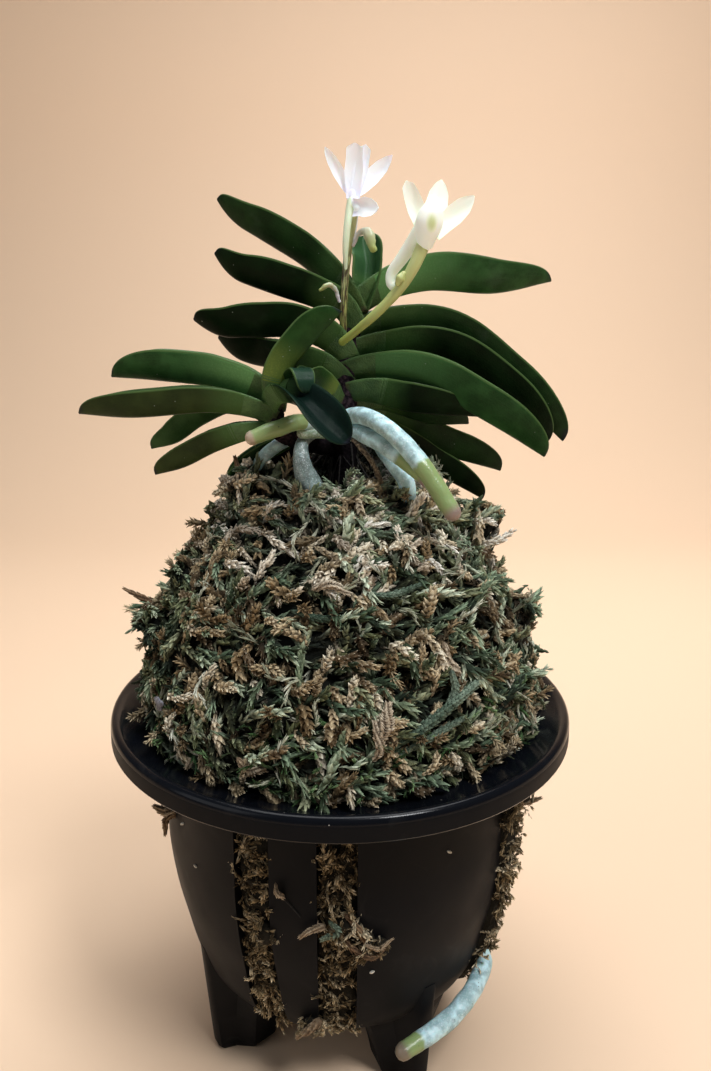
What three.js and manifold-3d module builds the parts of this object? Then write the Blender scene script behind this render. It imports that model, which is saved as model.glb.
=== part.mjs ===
// A wind orchid in flower, growing on a mound of dried sphagnum in a black slotted pot with four legs.
// Units are millimetres, +Z is up. The plant is set out about the pot's axis, with z = 0 at the top of the
// pot's lip, and the whole is then moved so that the middle of its box's underside is the origin.
import * as THREE from "three";
import { mergeVertices } from "three/addons/utils/BufferGeometryUtils.js";
import Module from "manifold-3d";

const wasm = await Module();
wasm.setup();

// ---------------------------------------------------------------- driving dimensions

const CUT = 0.32; // room left round a piece where a neighbour would cross it

const POT = {
  height: 83, // ground to the top of the lip
  lipRadius: 52.5,
  skirt: 5, // height of the lip's outer face
  dishDepth: 3.2, // depth of the dish inside the lip, where it meets the bowl
  bowlRadius: 41,
  wall: 2.2,
  floorDepth: 66, // underside of the bowl
  drainRadius: 7,
  sides: 36,
};

const SLOT = {
  width: 8,
  pair: [-26, -1], // the two slots beside a narrow rib, in degrees from the front
  repeats: 4,
  innerRadius: 23, // the slots run on under the bowl as far as this
  topDepth: 9.5,
};

const LEG = {
  angle: 31.5, // middle of a wide panel
  repeats: 4,
  rootDepth: 54,
  rootWidth: 30,
  footWidth: 8.5,
  rootOuter: 37,
  footOuter: 34.5,
  rootInner: 24,
  footInner: 25.5,
};

const MOSS = {
  gap: 0.4, // to the pot
  sides: 24,
  rings: 10, // of the mound's surface
  swell: 1, // slow swelling of the mound, as a height
  relief: 0.9, // fine roughness of its surface, as a height
  hollow: 15, // radius of the mound's top, which dips in front of the stem and rises behind it
  tilt: 0.33,
  strands: 160,
  strandLength: [10, 14],
  strandWidth: [3.8, 5.2],
  tufts: 12, // loose ends that stand up round the top
  slotStrands: 3, // in each slot
  seed: 7,
};

const BLADE = {
  thickness: 1.3,
  fold: [26, 35], // each side's angle to the middle plane, at the stem and at the tip
  sheath: 7.5, // length of the clasping base, up to the joint where an old blade drops off
  joint: 0.35, // the joint's own width
  step: 5.6, // between the rings of a blade
};

// Keels run from the stem to the tip, and `half` is the width from keel to margin across one side of the
// fold. `fold` opens it and `roll` turns it about the keel, each from the stem to the tip.
const BLADES = {
  leaf_right_4: {
    keel: [[0.9, 0, 71.7], [5.6, -1, 72.6], [16.6, -3, 71.5], [29.4, -4, 64.9], [43.6, -4, 56.6]],
    half: 8,
  },
  leaf_right_3: {
    keel: [[1.8, 1, 76.2], [8.3, 2, 77.1], [21.5, 4, 76.2], [35.4, 6, 67.4], [46.6, 7, 58.1]],
    half: 8,
  },
  leaf_right_2: {
    keel: [[2.2, 2, 80], [7.8, 4, 82.1], [21.8, 8, 81.2], [36.1, 11, 71.5], [51.6, 12, 57.9]],
    half: 7.4,
  },
  leaf_right_1: {
    keel: [[3, 2, 84.6], [7.3, 3, 87.9], [18.1, 5, 91.1], [33.4, 6, 90.7], [45.5, 7, 93.1]],
    half: 8.6,
  },
  leaf_right_5: {
    keel: [[1.4, -1, 67.9], [5.2, -2, 68], [14.6, -3, 66], [30.2, -2, 64.9]],
    half: 5.2,
  },
  leaf_right_6: { keel: [[2.3, 1, 65.6], [8.5, 4, 65.7], [20.1, 8, 62.2], [29.1, 10, 62]], half: 5.4 },
  leaf_right_7: {
    keel: [[2.7, 3, 63.6], [9.1, 7, 62.3], [22.2, 13, 55.1], [38.1, 16, 50.1]],
    half: 7,
  },
  leaf_right_8: { keel: [[3.2, 4, 61.7], [9.7, 8, 58.6], [21, 14, 50.6], [34.3, 17, 43]], half: 5.8 },
  leaf_left_1: {
    keel: [[2, 1, 85.4], [-0.8, 0, 89], [-8.8, 2, 96.3], [-17.6, 3, 101.1], [-25, 4, 108.2]],
    half: 7.8,
  },
  leaf_left_2: {
    keel: [[1.3, 0, 81.3], [-1.2, -1, 85.4], [-9.4, -3, 88.9], [-17.9, -4, 91.5], [-25.6, -4, 97.5]],
    half: 7.2,
  },
  leaf_left_3: {
    keel: [[0.5, 0, 73.8], [-3.3, -2, 78.4], [-11.1, -5, 81.3], [-22.5, -6, 81.4], [-30.1, -6, 84.2]],
    half: 8,
  },
  leaf_left_4: {
    keel: [[0.3, 0, 70], [-4.2, -2, 73], [-11.2, -5, 75.2], [-19.8, -2, 76.3], [-25.6, 0, 80.9]],
    half: 7,
  },
  leaf_left_5: {
    keel: [[-0.8, -3, 66.8], [-3.2, -8, 69.3], [-5.9, -14, 71.8], [-8, -19, 73.7]],
    half: 4.6,
  },
  leaf_centre: { keel: [[4.4, 4, 85.8], [5.9, 6, 91.3], [6.3, 8, 97.2], [5.2, 9, 102.6]], half: 7.2 },
  leaf_low: { keel: [[-6, -3, 60.5], [-11.5, -5, 58], [-19.4, -7, 53.2], [-23.7, -6, 47.6]], half: 4.5 },
  shoot_front: {
    keel: [[-13.6, -13, 65.3], [-11.7, -17, 68.9], [-7.2, -22, 68.6], [-2.9, -26, 66], [1.4, -28, 62.8]],
    half: 5,
    fold: [24, 54],
    roll: [0, 42],
  },
  shoot_up: {
    keel: [[-12.8, -13, 66.9], [-11.2, -15, 71.1], [-10.1, -16, 74.6], [-5.1, -17, 80.9], [0, -17, 86.3]],
    half: 6.2,
  },
  shoot_small: { keel: [[-11.6, -12, 66.8], [-10.8, -12, 70], [-9.9, -12, 73.4]], half: 2.6 },
  shoot_left_1: {
    keel: [[-14.1, -12, 65.6], [-17.6, -12, 69.2], [-25.8, -13, 71.8], [-35.9, -14, 73], [-45.3, -14, 73.7]],
    half: 6.8,
  },
  shoot_left_2: {
    keel: [[-14, -13, 64.1], [-17.9, -14, 65.8], [-26.3, -16, 67], [-41.2, -18, 66.1], [-51, -18, 66.9]],
    half: 5.8,
  },
  shoot_left_3: {
    keel: [[-14.2, -11, 63.1], [-20.9, -9, 66.5], [-28.6, -6, 63.6], [-34.9, -4, 59.4], [-40.7, -3, 57.9]],
    half: 5.2,
  },
  shoot_left_4: {
    keel: [[-14.2, -12, 62], [-18.5, -13, 61.3], [-25.2, -12, 58.8], [-32.7, -10, 55], [-38.8, -9, 53.3]],
    half: 5,
  },
};

// Both stems, which the sheaths clasp. The side shoot grows from the foot of the main stem.
const STEMS = [
  {
    line: [[0, 0, 44], [0.4, 0, 58], [0.6, 0, 72], [2.2, 1.2, 86]],
    radius: [5, 5, 3.4, 2.4],
  },
  {
    line: [[-1, -3, 58], [-8, -8, 60.5], [-13.4, -12, 64], [-13.4, -12.4, 66.5]],
    radius: [2.4, 2.6, 2.8, 2],
  },
];

// Aerial roots, from the stem to the growing end.
const ROOTS = {
  root_left: {
    line: [[-4, -10, 63.4], [-8.3, -14, 65], [-12.9, -17, 64], [-17.6, -18, 62.3]],
    radius: [1.4, 1.6, 1.65, 1.6],
  },
  root_front_1: {
    line: [[-0.8, -5, 64.5], [4.1, -13, 66.2], [9.6, -20, 63.9], [15.4, -24, 57.9], [21.2, -27, 49.3]],
    radius: [1.7, 1.75, 1.8, 1.9, 1.85],
  },
  root_front_2: {
    line: [[0.1, -6, 62.5], [4.5, -14, 62.5], [10.4, -20, 59.8], [17.2, -23, 54.6]],
    radius: [1.6, 1.7, 1.75, 1.7],
  },
  root_flared: {
    line: [[-4.9, -8, 62.7], [-8.1, -12, 60.3], [-7.9, -14, 56.2], [-5.9, -14, 50]],
    radius: [1.2, 1.3, 1.6, 2.8],
  },
  root_stub: {
    line: [[2.2, -9, 61.6], [-4.4, -12, 62.6], [-8, -13, 62.7]],
    radius: [1.1, 1.1, 1.3],
  },
  root_back: {
    line: [[7.1, -10, 61], [10.5, -16, 56.5], [13.3, -18, 52.4], [14.6, -17, 47]],
    radius: [1.5, 1.7, 1.75, 1.7],
  },
  root_dry: {
    line: [[1.7, -12, 62], [3.9, -15, 60], [6.3, -16, 57], [9, -15, 50]],
    radius: [0.6, 0.6, 0.6, 0.8],
  },
  root_pale: {
    line: [[-9.6, -6, 61.2], [-12.9, -8, 59.8], [-16.1, -9, 57.4], [-17.9, -9, 54.9]],
    radius: [1.4, 1.4, 1.4, 1.2],
  },
  root_hanging: {
    line: [
      [31, -14.5, -56], [33.2, -18.5, -59], [31.6, -22, -60.6],
      [27.9, -27.9, -61], [22.6, -32.8, -62.4], [13.2, -38, -64.6],
    ],
    radius: [1.9, 2, 2, 2, 2.1, 2],
  },
};

const STALKS = {
  stalk_streaked: {
    line: [[0.3, -3, 82.1], [0.4, -4, 88.9], [1, -3, 96.4], [2.2, -3, 105.1]],
    radius: 1,
  },
  stalk_pale: {
    line: [[0.1, -5, 80.5], [6.1, -9, 84.4], [11.8, -11, 90.5], [14, -12, 94.8], [15.8, -12, 99.2]],
    radius: 1.2,
    bract: [11.3, -12.2, 92.7],
  },
};

// A flower: the heart that everything grows from, and the tips of its petals with their half widths.
// `lip` is the short tongue, `spur` the tube behind it, `pedicel` the flower's own stalk.
const FLOWERS = {
  flower_white: {
    heart: [2, -2, 109],
    heartRadius: 1.5,
    petals: [
      { tip: [-3.4, -4, 117.8], half: 1.6 },
      { tip: [2.3, -3, 118.6], half: 1.9 },
      { tip: [5.6, 1, 118.9], half: 1.8 },
      { tip: [10, -1, 116.9], half: 1.7 },
      { tip: [6.7, -7, 106.6], half: 2.1 },
    ],
    lip: [[2.4, -3, 109.2], [3.4, -5.4, 109.6], [4.3, -7, 108.6]],
    spur: [[2, -1, 108.6], [2.6, 3, 107], [2.2, 5.4, 102.6], [1, 6, 98.6]],
    pedicel: [[1.6, -2.4, 108], [0.2, -5, 103.4], [-0.8, -5.4, 98.8]],
  },
  flower_cream: {
    heart: [17, -11.5, 102],
    heartRadius: 2.3,
    petals: [
      { tip: [12.1, -13, 110.2], half: 1.9 },
      { tip: [19.2, -8, 111.3], half: 2.2 },
      { tip: [25.4, -10, 108.1], half: 2 },
      { tip: [14.8, -17, 106.2], half: 2.2 },
      { tip: [18.6, -17.5, 105.8], half: 2.2 },
    ],
    lip: [[17, -13, 102.4], [17.3, -16, 103.4], [17.4, -17.6, 102]],
    spur: [[15.4, -10.6, 101.8], [11.9, -9, 96.8], [9.8, -8, 93.7], [10, -8.4, 91.6], [11.3, -9, 91.9]],
    pedicel: [[16.8, -11.6, 101.4], [16.1, -12, 99.9]],
  },
};

const WITHERED = {
  withered_upper: {
    line: [[2.6, -4.3, 99.4], [3.4, -4.6, 101.7], [5.2, -6, 101.6], [6.4, -7, 98.4]],
    radius: [0.5, 0.9, 1.5, 1.1],
  },
  withered_lower: {
    line: [[-0.5, -4.8, 88.6], [-1.4, -5.2, 91], [-2.8, -6, 91.7], [-4.2, -6, 91]],
    radius: [0.45, 0.8, 0.9, 0.4],
  },
};

// ---------------------------------------------------------------- small tools

const { degToRad, lerp, clamp, smoothstep } = THREE.MathUtils;
const point = (p) => new THREE.Vector3(...p);

function seededRandom(seed) {
  let state = seed >>> 0;
  return () => {
    state = (state + 0x6d2b79f5) >>> 0;
    let t = state;
    t = Math.imul(t ^ (t >>> 15), t | 1);
    t ^= t + Math.imul(t ^ (t >>> 7), t | 61);
    return ((t ^ (t >>> 14)) >>> 0) / 4294967296;
  };
}

// A value read off a row of equally spaced values, t from 0 to 1.
function along(values, t) {
  const s = clamp(t, 0, 1) * (values.length - 1);
  const i = Math.min(Math.floor(s), values.length - 2);
  return lerp(values[i], values[i + 1], s - i);
}

// A value read off [place, value] pairs.
function read(pairs, t) {
  let i = 1;
  while (i < pairs.length - 1 && pairs[i][0] < t) i++;
  const [t0, v0] = pairs[i - 1];
  const [t1, v1] = pairs[i];
  return lerp(v0, v1, clamp((t - t0) / (t1 - t0), 0, 1));
}

// A manifold solid from plain positions and triangles, facing outwards.
function solidFrom(positions, triangles) {
  const geometry = new THREE.BufferGeometry();
  geometry.setAttribute("position", new THREE.Float32BufferAttribute(positions, 3));
  geometry.setIndex(triangles);
  const merged = mergeVertices(geometry, 1e-4);
  const kept = [];
  const index = merged.index.array;
  for (let i = 0; i < index.length; i += 3) {
    const [a, b, c] = index.slice(i, i + 3);
    if (a !== b && b !== c && c !== a) kept.push(a, b, c);
  }
  const build = (triVerts) =>
    new wasm.Manifold(
      new wasm.Mesh({ numProp: 3, vertProperties: merged.attributes.position.array, triVerts }),
    );
  const made = build(new Uint32Array(kept));
  return made.volume() < 0 ? build(new Uint32Array(kept.reverse())) : made;
}

function solidOf(geometry) {
  const bare = geometry.index ? geometry : mergeVertices(geometry);
  return solidFrom([...bare.attributes.position.array], [...bare.index.array]);
}

// A closed solid through rings with the same even number of points. A ring's first half faces its
// second half, point for point, so the caps of a folded section stay inside it.
function loft(rings) {
  const n = rings[0].length;
  const last = (rings.length - 1) * n;
  const triangles = [];
  const quad = (a, b, c, d) => triangles.push(a, b, c, a, c, d);
  for (let start = 0; start < last; start += n)
    for (let j = 0; j < n; j++) {
      const k = (j + 1) % n;
      quad(start + j, start + k, start + n + k, start + n + j);
    }
  for (let j = 0; j < n / 2 - 1; j++) {
    quad(j, n - 1 - j, n - 2 - j, j + 1);
    quad(last + j, last + j + 1, last + n - 2 - j, last + n - 1 - j);
  }
  return solidFrom(rings.flat().flatMap((p) => [p.x, p.y, p.z]), triangles);
}

// A solid of revolution about +Z. The profile is [radius, depth below the lip], from axis to axis.
function turned(profile, sides) {
  const points = profile.map(([r, depth]) => new THREE.Vector2(r, -depth));
  return solidOf(new THREE.LatheGeometry(points, sides).rotateX(Math.PI / 2));
}

// A round bar along a smooth line, with a radius at each of its points and rounded ends.
function bar(line, radius, { grow = 0, sides = 8, pitch = 3, blunt = 0.5 } = {}) {
  const curve = new THREE.CatmullRomCurve3(line.map(point), false, "centripetal");
  const steps = Math.max(3, Math.round(curve.getLength() / pitch));
  const { normals, binormals } = curve.computeFrenetFrames(steps, false);
  const radii = Array.isArray(radius) ? radius : [radius, radius];
  const rings = [];
  const ring = (i, r, shift) => {
    const centre = curve.getPointAt(i / steps).addScaledVector(curve.getTangentAt(i / steps), shift);
    rings.push(
      Array.from({ length: sides }, (_, j) => {
        const a = (2 * Math.PI * j) / sides;
        return centre
          .clone()
          .addScaledVector(normals[i], r * Math.cos(a))
          .addScaledVector(binormals[i], r * Math.sin(a));
      }),
    );
  };
  const at = (i) => along(radii, i / steps) + grow;
  ring(0, at(0) * 0.5, -at(0) * blunt);
  for (let i = 0; i <= steps; i++) ring(i, at(i), 0);
  ring(steps, at(steps) * 0.5, at(steps) * blunt);
  return loft(rings);
}

const unite = (solids) => wasm.Manifold.union(solids);

// The biggest body of a solid, so that no scrap is left by a cut.
function biggest(made) {
  const bodies = made.decompose();
  return bodies.reduce((best, body) => (body.volume() > best.volume() ? body : best));
}

function overlaps(a, b) {
  const [p, q] = [a.boundingBox(), b.boundingBox()];
  return [0, 1, 2].every((k) => p.min[k] < q.max[k] && q.min[k] < p.max[k]);
}

// ---------------------------------------------------------------- pot

// Outer radius of the bowl, [depth, radius].
const BOWL = [
  [7, POT.bowlRadius],
  [30, POT.bowlRadius],
  [40, 39.9],
  [49, 38],
  [57, 36.1],
  [62.5, 33.7],
  [POT.floorDepth, 30],
];

function potSolid() {
  const rim = POT.lipRadius;
  const outside = turned(
    [
      [0, POT.dishDepth],
      [rim - 12.5, POT.dishDepth],
      [rim - 6.5, POT.dishDepth - 0.8],
      [rim - 3, 0.8],
      [rim - 1.8, 0],
      [rim - 0.6, 0.3],
      [rim, 1.6],
      [rim, POT.skirt],
      [rim - 2, POT.skirt],
      [rim - 2.6, 4],
      [POT.bowlRadius + 1.4, 5.6],
      ...BOWL.map(([depth, r]) => [r, depth]),
      [0, POT.floorDepth],
    ],
    POT.sides,
  );
  const inside = turned(
    [
      [0, -1],
      [POT.bowlRadius - POT.wall, -1],
      ...BOWL.slice(1, -1).map(([depth, r]) => [r - POT.wall, depth]),
      [27.5, POT.floorDepth - POT.wall],
      [0, POT.floorDepth - POT.wall],
    ],
    POT.sides,
  );
  const drain = solidOf(
    new THREE.CylinderGeometry(POT.drainRadius, POT.drainRadius, 10, 24)
      .rotateX(Math.PI / 2)
      .translate(0, 0, -POT.floorDepth),
  );
  return outside.add(unite(legs())).subtract(unite([inside, drain, ...slots()]));
}

// A solid drawn at the front, outwards along -Y, and turned to an angle from the front towards +X.
const turnTo = (made, degrees) => made.rotate([0, 0, degrees]);

function repeatAngles(first, repeats) {
  return Array.from({ length: repeats }, (_, i) => first + (360 / repeats) * i);
}

const slotAngles = SLOT.pair.flatMap((a) => repeatAngles(a, SLOT.repeats));

function slots() {
  const outer = POT.bowlRadius + 3;
  const bottom = POT.floorDepth + 2;
  const box = new THREE.BoxGeometry(SLOT.width, outer - SLOT.innerRadius, bottom - SLOT.topDepth).translate(
    0,
    -(outer + SLOT.innerRadius) / 2,
    -(bottom + SLOT.topDepth) / 2,
  );
  return slotAngles.map((a) => turnTo(solidOf(box), a));
}

// A wedge leg: broad where it leaves the panel, with a ridge outside and scooped sides, and a small foot.
function legs() {
  const rings = [];
  const levels = 5;
  for (let i = 0; i <= levels; i++) {
    const t = i / levels;
    const scoop = Math.pow(1 - t, 1.3);
    const half = lerp(LEG.footWidth, LEG.rootWidth, scoop) / 2;
    const outer = lerp(LEG.rootOuter, LEG.footOuter, t);
    const inner = lerp(LEG.rootInner, LEG.footInner, t);
    const shoulder = lerp(outer - 3, inner + 3, 0.35 + 0.2 * t);
    const z = -lerp(LEG.rootDepth, POT.height, t);
    const at = (r, s) => new THREE.Vector3(s, -r, z);
    rings.push([
      at(outer, 1.6),
      at(shoulder, half),
      at(inner, half * 0.8),
      at(inner, -half * 0.8),
      at(shoulder, -half),
      at(outer, -1.6),
    ]);
  }
  const leg = loft(rings);
  return repeatAngles(LEG.angle, LEG.repeats).map((a) => turnTo(leg, a));
}

// ---------------------------------------------------------------- blades, sheaths and stems

// A blade's width along its length, as a share of its greatest width.
const WIDTHS = [
  [0, 0.62], [0.1, 0.72], [0.25, 0.9], [0.45, 1],
  [0.72, 0.98], [0.87, 0.84], [0.95, 0.62], [1, 0.3],
];

// One folded section: down the outside of one side to the keel, up the other, and back along the inside.
function bladeSection(blade, frame, t, grow) {
  const half = blade.half * read(WIDTHS, t);
  const [foldStem, foldTip] = blade.fold ?? BLADE.fold;
  const fold = degToRad(lerp(foldStem, foldTip, smoothstep(t, blade.fold ? 0.1 : 0.6, 1)));
  const thick = BLADE.thickness * read([[0, 0.7], [0.3, 1], [0.8, 1], [1, 0.7]], t);
  const [sin, cos] = [Math.sin(fold), Math.cos(fold)];
  const margin = (side, depth) => [
    side * ((half + grow) * sin - depth * cos),
    (half + grow) * cos + depth * sin,
  ];
  const inner = thick * 0.65 + grow;
  const keel = [0, -grow * 1.4];
  const groove = [0, Math.min(thick / sin, half * 0.45) + grow * 1.4];
  const outline = [margin(1, -grow), keel, margin(-1, -grow), margin(-1, inner), groove, margin(1, inner)];
  return outline.map(([s, u]) =>
    frame.origin.clone().addScaledVector(frame.side, s).addScaledVector(frame.up, u),
  );
}

const keelOf = (blade) => new THREE.CatmullRomCurve3(blade.keel.map(point), false, "centripetal");

// The joint's place, as a share of the blade's length.
const jointOf = (blade) => Math.min(BLADE.sheath / keelOf(blade).getLength(), 0.3);

// Rings of a blade from one share of its length to another.
function bladeRings(blade, from, to, steps, grow) {
  const curve = keelOf(blade);
  const chord = curve.getPoint(1).sub(curve.getPoint(0));
  const level = chord.clone().cross(new THREE.Vector3(0, 0, 1)).normalize();
  const [rollStem, rollTip] = blade.roll ?? [0, 0];
  return Array.from({ length: steps + 1 }, (_, i) => {
    const t = lerp(from, to, 1 - Math.pow(1 - i / steps, 1.25));
    const tangent = curve.getTangentAt(t);
    const turn = new THREE.Quaternion().setFromAxisAngle(tangent, degToRad(lerp(rollStem, rollTip, t)));
    const side = level.clone().addScaledVector(tangent, -level.dot(tangent)).normalize();
    const up = side.clone().cross(tangent);
    const origin = curve.getPointAt(t);
    if (i === steps && to === 1) origin.addScaledVector(tangent, grow);
    if (i === 0) origin.addScaledVector(tangent, -grow);
    return bladeSection(
      blade,
      { origin, side: side.applyQuaternion(turn), up: up.applyQuaternion(turn) },
      t,
      grow,
    );
  });
}

function bladeSolid(blade, grow = 0) {
  const length = keelOf(blade).getLength();
  const steps = clamp(Math.round(length / BLADE.step), 4, 8);
  return loft(bladeRings(blade, jointOf(blade) + BLADE.joint / length, 1, steps, grow));
}

// The stems with every sheath grown onto them.
function stemSolid(grow = 0) {
  const rods = STEMS.map(({ line, radius }) => bar(line, radius, { grow, pitch: 5 }));
  const sheaths = Object.values(BLADES).map((blade) =>
    loft(bladeRings(blade, 0, jointOf(blade), 1, grow)),
  );
  return unite([...rods, ...sheaths]);
}

// ---------------------------------------------------------------- stalks and flowers

function stalkSolid({ line, radius, bract }, grow = 0) {
  const rod = bar(line, radius, { grow, sides: 8, pitch: 4 });
  if (!bract) return rod;
  const bud = solidOf(new THREE.IcosahedronGeometry(0.9 + grow, 0).translate(...bract));
  return rod.add(bud);
}

// A petal: a thin cupped leaf shape from the heart to its tip, facing away from the flower's axis.
function petalSolid(from, { tip, half }, grow) {
  const [root, end] = [point(from), point(tip)];
  const run = end.clone().sub(root);
  const side = run.clone().cross(new THREE.Vector3(0, 1, 0)).normalize();
  const face = side.clone().cross(run).normalize();
  const thick = 0.45 + grow;
  const outline = [[0, 0.45], [0.35, 0.85], [0.7, 1], [1, 0.3]];
  const rings = outline.map(([t, share]) => {
    const bow = 1.2 * Math.sin(Math.PI * t);
    const centre = root.clone().addScaledVector(run, t).addScaledVector(face, bow);
    const w = half * share + grow;
    return [
      [-w, 0.35 * w],
      [0, -thick],
      [w, 0.35 * w],
      [w * 0.9, 0.35 * w + thick],
      [0, thick],
      [-w * 0.9, 0.35 * w + thick],
    ].map(([s, f]) => centre.clone().addScaledVector(side, s).addScaledVector(face, -f));
  });
  return loft(rings);
}

function flowerSolid({ heart, heartRadius, petals, lip, spur, pedicel }, grow = 0) {
  const core = solidOf(
    new THREE.OctahedronGeometry(heartRadius + grow, 1).translate(...heart),
  );
  return unite([
    core,
    ...petals.map((petal) => petalSolid(heart, petal, grow)),
    bar(lip, [0.8, 1.3, 0.6], { grow, sides: 6, pitch: 3 }),
    bar(spur, [1.5, 1.2, 1, 0.9], { grow, sides: 6, pitch: 3.5 }),
    bar(pedicel, [1, 0.85], { grow, sides: 6, pitch: 5 }),
  ]);
}

// ---------------------------------------------------------------- moss

// The mound's outline above the lip, [radius, height], from the dish up and into the hollow at its top.
const MOUND = [
  [43.2, 0.2],
  [43.8, 4],
  [42.2, 11],
  [39.6, 19],
  [36.6, 27],
  [32, 35],
  [26.6, 42],
  [20.5, 48],
  [14.5, 50],
  [9.5, 49],
  [6, 46],
];

// The mound's radius grows and shrinks slowly round it, and its surface is rough, both by formula.
const swelling = (angle, height) =>
  MOSS.swell * (Math.sin(3 * angle + 0.11 * height) + Math.sin(7 * angle - 0.2 * height)) * 0.5;

const roughness = (angle, height) => MOSS.relief * Math.sin(61 * angle + 13 * height);

// The outline at a share of its length, with how far it rises and runs in there.
function outlineAt(share) {
  const s = clamp(share, 0, 1) * (MOUND.length - 1);
  const i = Math.min(Math.floor(s), MOUND.length - 2);
  const [r0, h0] = MOUND[i];
  const [r1, h1] = MOUND[i + 1];
  return { radius: lerp(r0, r1, s - i), height: lerp(h0, h1, s - i), rise: h1 - h0, run: r0 - r1 };
}

function mossCore() {
  const wall = POT.wall + MOSS.gap;
  const below = BOWL.slice(2, -1)
    .reverse()
    .map(([depth, r]) => [r - wall, depth]);
  const profile = [
    [0, POT.floorDepth - wall],
    [27, POT.floorDepth - wall],
    ...below,
    [POT.bowlRadius - wall, 28],
    [POT.bowlRadius - wall, POT.dishDepth - MOSS.gap],
    [43, POT.dishDepth - 0.8 - MOSS.gap],
    ...Array.from({ length: MOSS.rings + 1 }, (_, i) => {
      const { radius, height } = outlineAt(i / MOSS.rings);
      return [radius, -height];
    }),
    [0, -46],
  ];
  const geometry = new THREE.LatheGeometry(
    profile.map(([r, depth]) => new THREE.Vector2(r, -depth)),
    MOSS.sides,
  ).rotateX(Math.PI / 2);
  const at = geometry.attributes.position;
  for (let i = 0; i < at.count; i++) {
    const [x, y, z] = [at.getX(i), at.getY(i), at.getZ(i)];
    const reach = Math.hypot(x, y);
    if (z < 2 || reach < 5) continue;
    const angle = Math.atan2(y, x);
    const scale = 1 + (swelling(angle, z) + roughness(angle, z)) / reach;
    const tilt = reach < MOSS.hollow ? MOSS.tilt * y : 0;
    at.setXYZ(i, x * scale, y * scale, z + tilt);
  }
  return solidOf(geometry);
}

// What fills a slot, nearly flush with the bowl's outside.
function slotFill() {
  const half = SLOT.width / 2 - MOSS.gap;
  const levels = [SLOT.topDepth + 1, 30, 40, 49, 57, 64.5];
  return loft(
    levels.map((depth, i) => {
      const outer = read(BOWL, depth) + (i % 2 ? 0.4 : -0.5);
      const inner = i === levels.length - 1 ? 24 : 28;
      return [
        new THREE.Vector3(-half, -outer, -depth),
        new THREE.Vector3(half, -outer, -depth),
        new THREE.Vector3(half, -inner, -depth),
        new THREE.Vector3(-half, -inner, -depth),
      ];
    }),
  );
}

// One dried strand: a long six-faced grain with its belly to one side.
function strandSolid(centre, run, out, length, width, bend) {
  const across = run.clone().cross(out).normalize();
  const end = (sign) =>
    centre.clone().addScaledVector(run, (sign * length) / 2).addScaledVector(out, -bend);
  const belly = (angle) =>
    centre
      .clone()
      .addScaledVector(across, (Math.cos(angle) * width) / 2)
      .addScaledVector(out, (Math.sin(angle) * width) / 2);
  const points = [end(-1), end(1), ...[0, 1, 2].map((i) => belly(-Math.PI / 2 + (i * 2 * Math.PI) / 3))];
  const triangles = [];
  for (let i = 0; i < 3; i++) {
    const [a, b] = [2 + i, 2 + ((i + 1) % 3)];
    triangles.push(0, a, b, 1, b, a);
  }
  return solidFrom(points.flatMap((p) => [p.x, p.y, p.z]), triangles);
}

// Place and outward direction on the mound, at a share of its outline and an angle round it.
function onMound(share, angle) {
  const { radius, height, rise, run } = outlineAt(share);
  const radial = new THREE.Vector3(Math.cos(angle), Math.sin(angle), 0);
  return {
    at: radial.clone().multiplyScalar(radius + swelling(angle, height)).setZ(height),
    out: radial.multiplyScalar(rise).setZ(run).normalize(),
  };
}

function strands() {
  const random = seededRandom(MOSS.seed);
  const between = (low, high) => lerp(low, high, random());
  const made = [];
  const golden = Math.PI * (3 - Math.sqrt(5));
  const lay = ({ at, out }, tilt, rise, sink) => {
    const level = new THREE.Vector3(0, 0, 1).cross(out).normalize();
    const run = level.applyAxisAngle(out, tilt).addScaledVector(out, rise).normalize();
    const length = between(...MOSS.strandLength);
    const width = between(...MOSS.strandWidth);
    const centre = at.clone().addScaledVector(out, -sink * width).addScaledVector(run, rise * length * 0.3);
    const upright = out.clone().addScaledVector(run, -out.dot(run)).normalize();
    made.push(strandSolid(centre, run, upright, length, width, between(1.4, 2.4)));
  };
  for (let i = 0; i < MOSS.strands; i++) {
    const share = Math.pow((i + 0.5) / MOSS.strands, 1.15) * 0.86 + 0.02;
    const place = onMound(share, i * golden);
    lay(place, between(-0.6, 0.6) + (random() < 0.15 ? 1.2 : 0), between(-0.03, 0.16), -0.26);
  }
  for (let i = 0; i < MOSS.tufts; i++) {
    const place = onMound(between(0.5, 0.8), i * golden * 1.7);
    lay(place, between(0.8, 2.2), between(0.6, 1), -0.1);
  }
  return made;
}

// Strands that show in a slot, kept clear of its edges.
function slotStrands() {
  const random = seededRandom(MOSS.seed + 1);
  const made = [];
  for (const angle of slotAngles)
    for (let i = 0; i < MOSS.slotStrands; i++) {
      const depth = lerp(SLOT.topDepth + 5, 56, (i + random() * 0.6 + 0.2) / MOSS.slotStrands);
      const at = new THREE.Vector3(lerp(-0.6, 0.6, random()), -(read(BOWL, depth) + 0.1), -depth);
      const run = new THREE.Vector3(lerp(-0.45, 0.45, random()), 0, 1).normalize();
      const length = lerp(7, 10, random());
      made.push(turnTo(strandSolid(at, run, new THREE.Vector3(0, -1, 0), length, 3, 0.6), angle));
    }
  return made;
}

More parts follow.
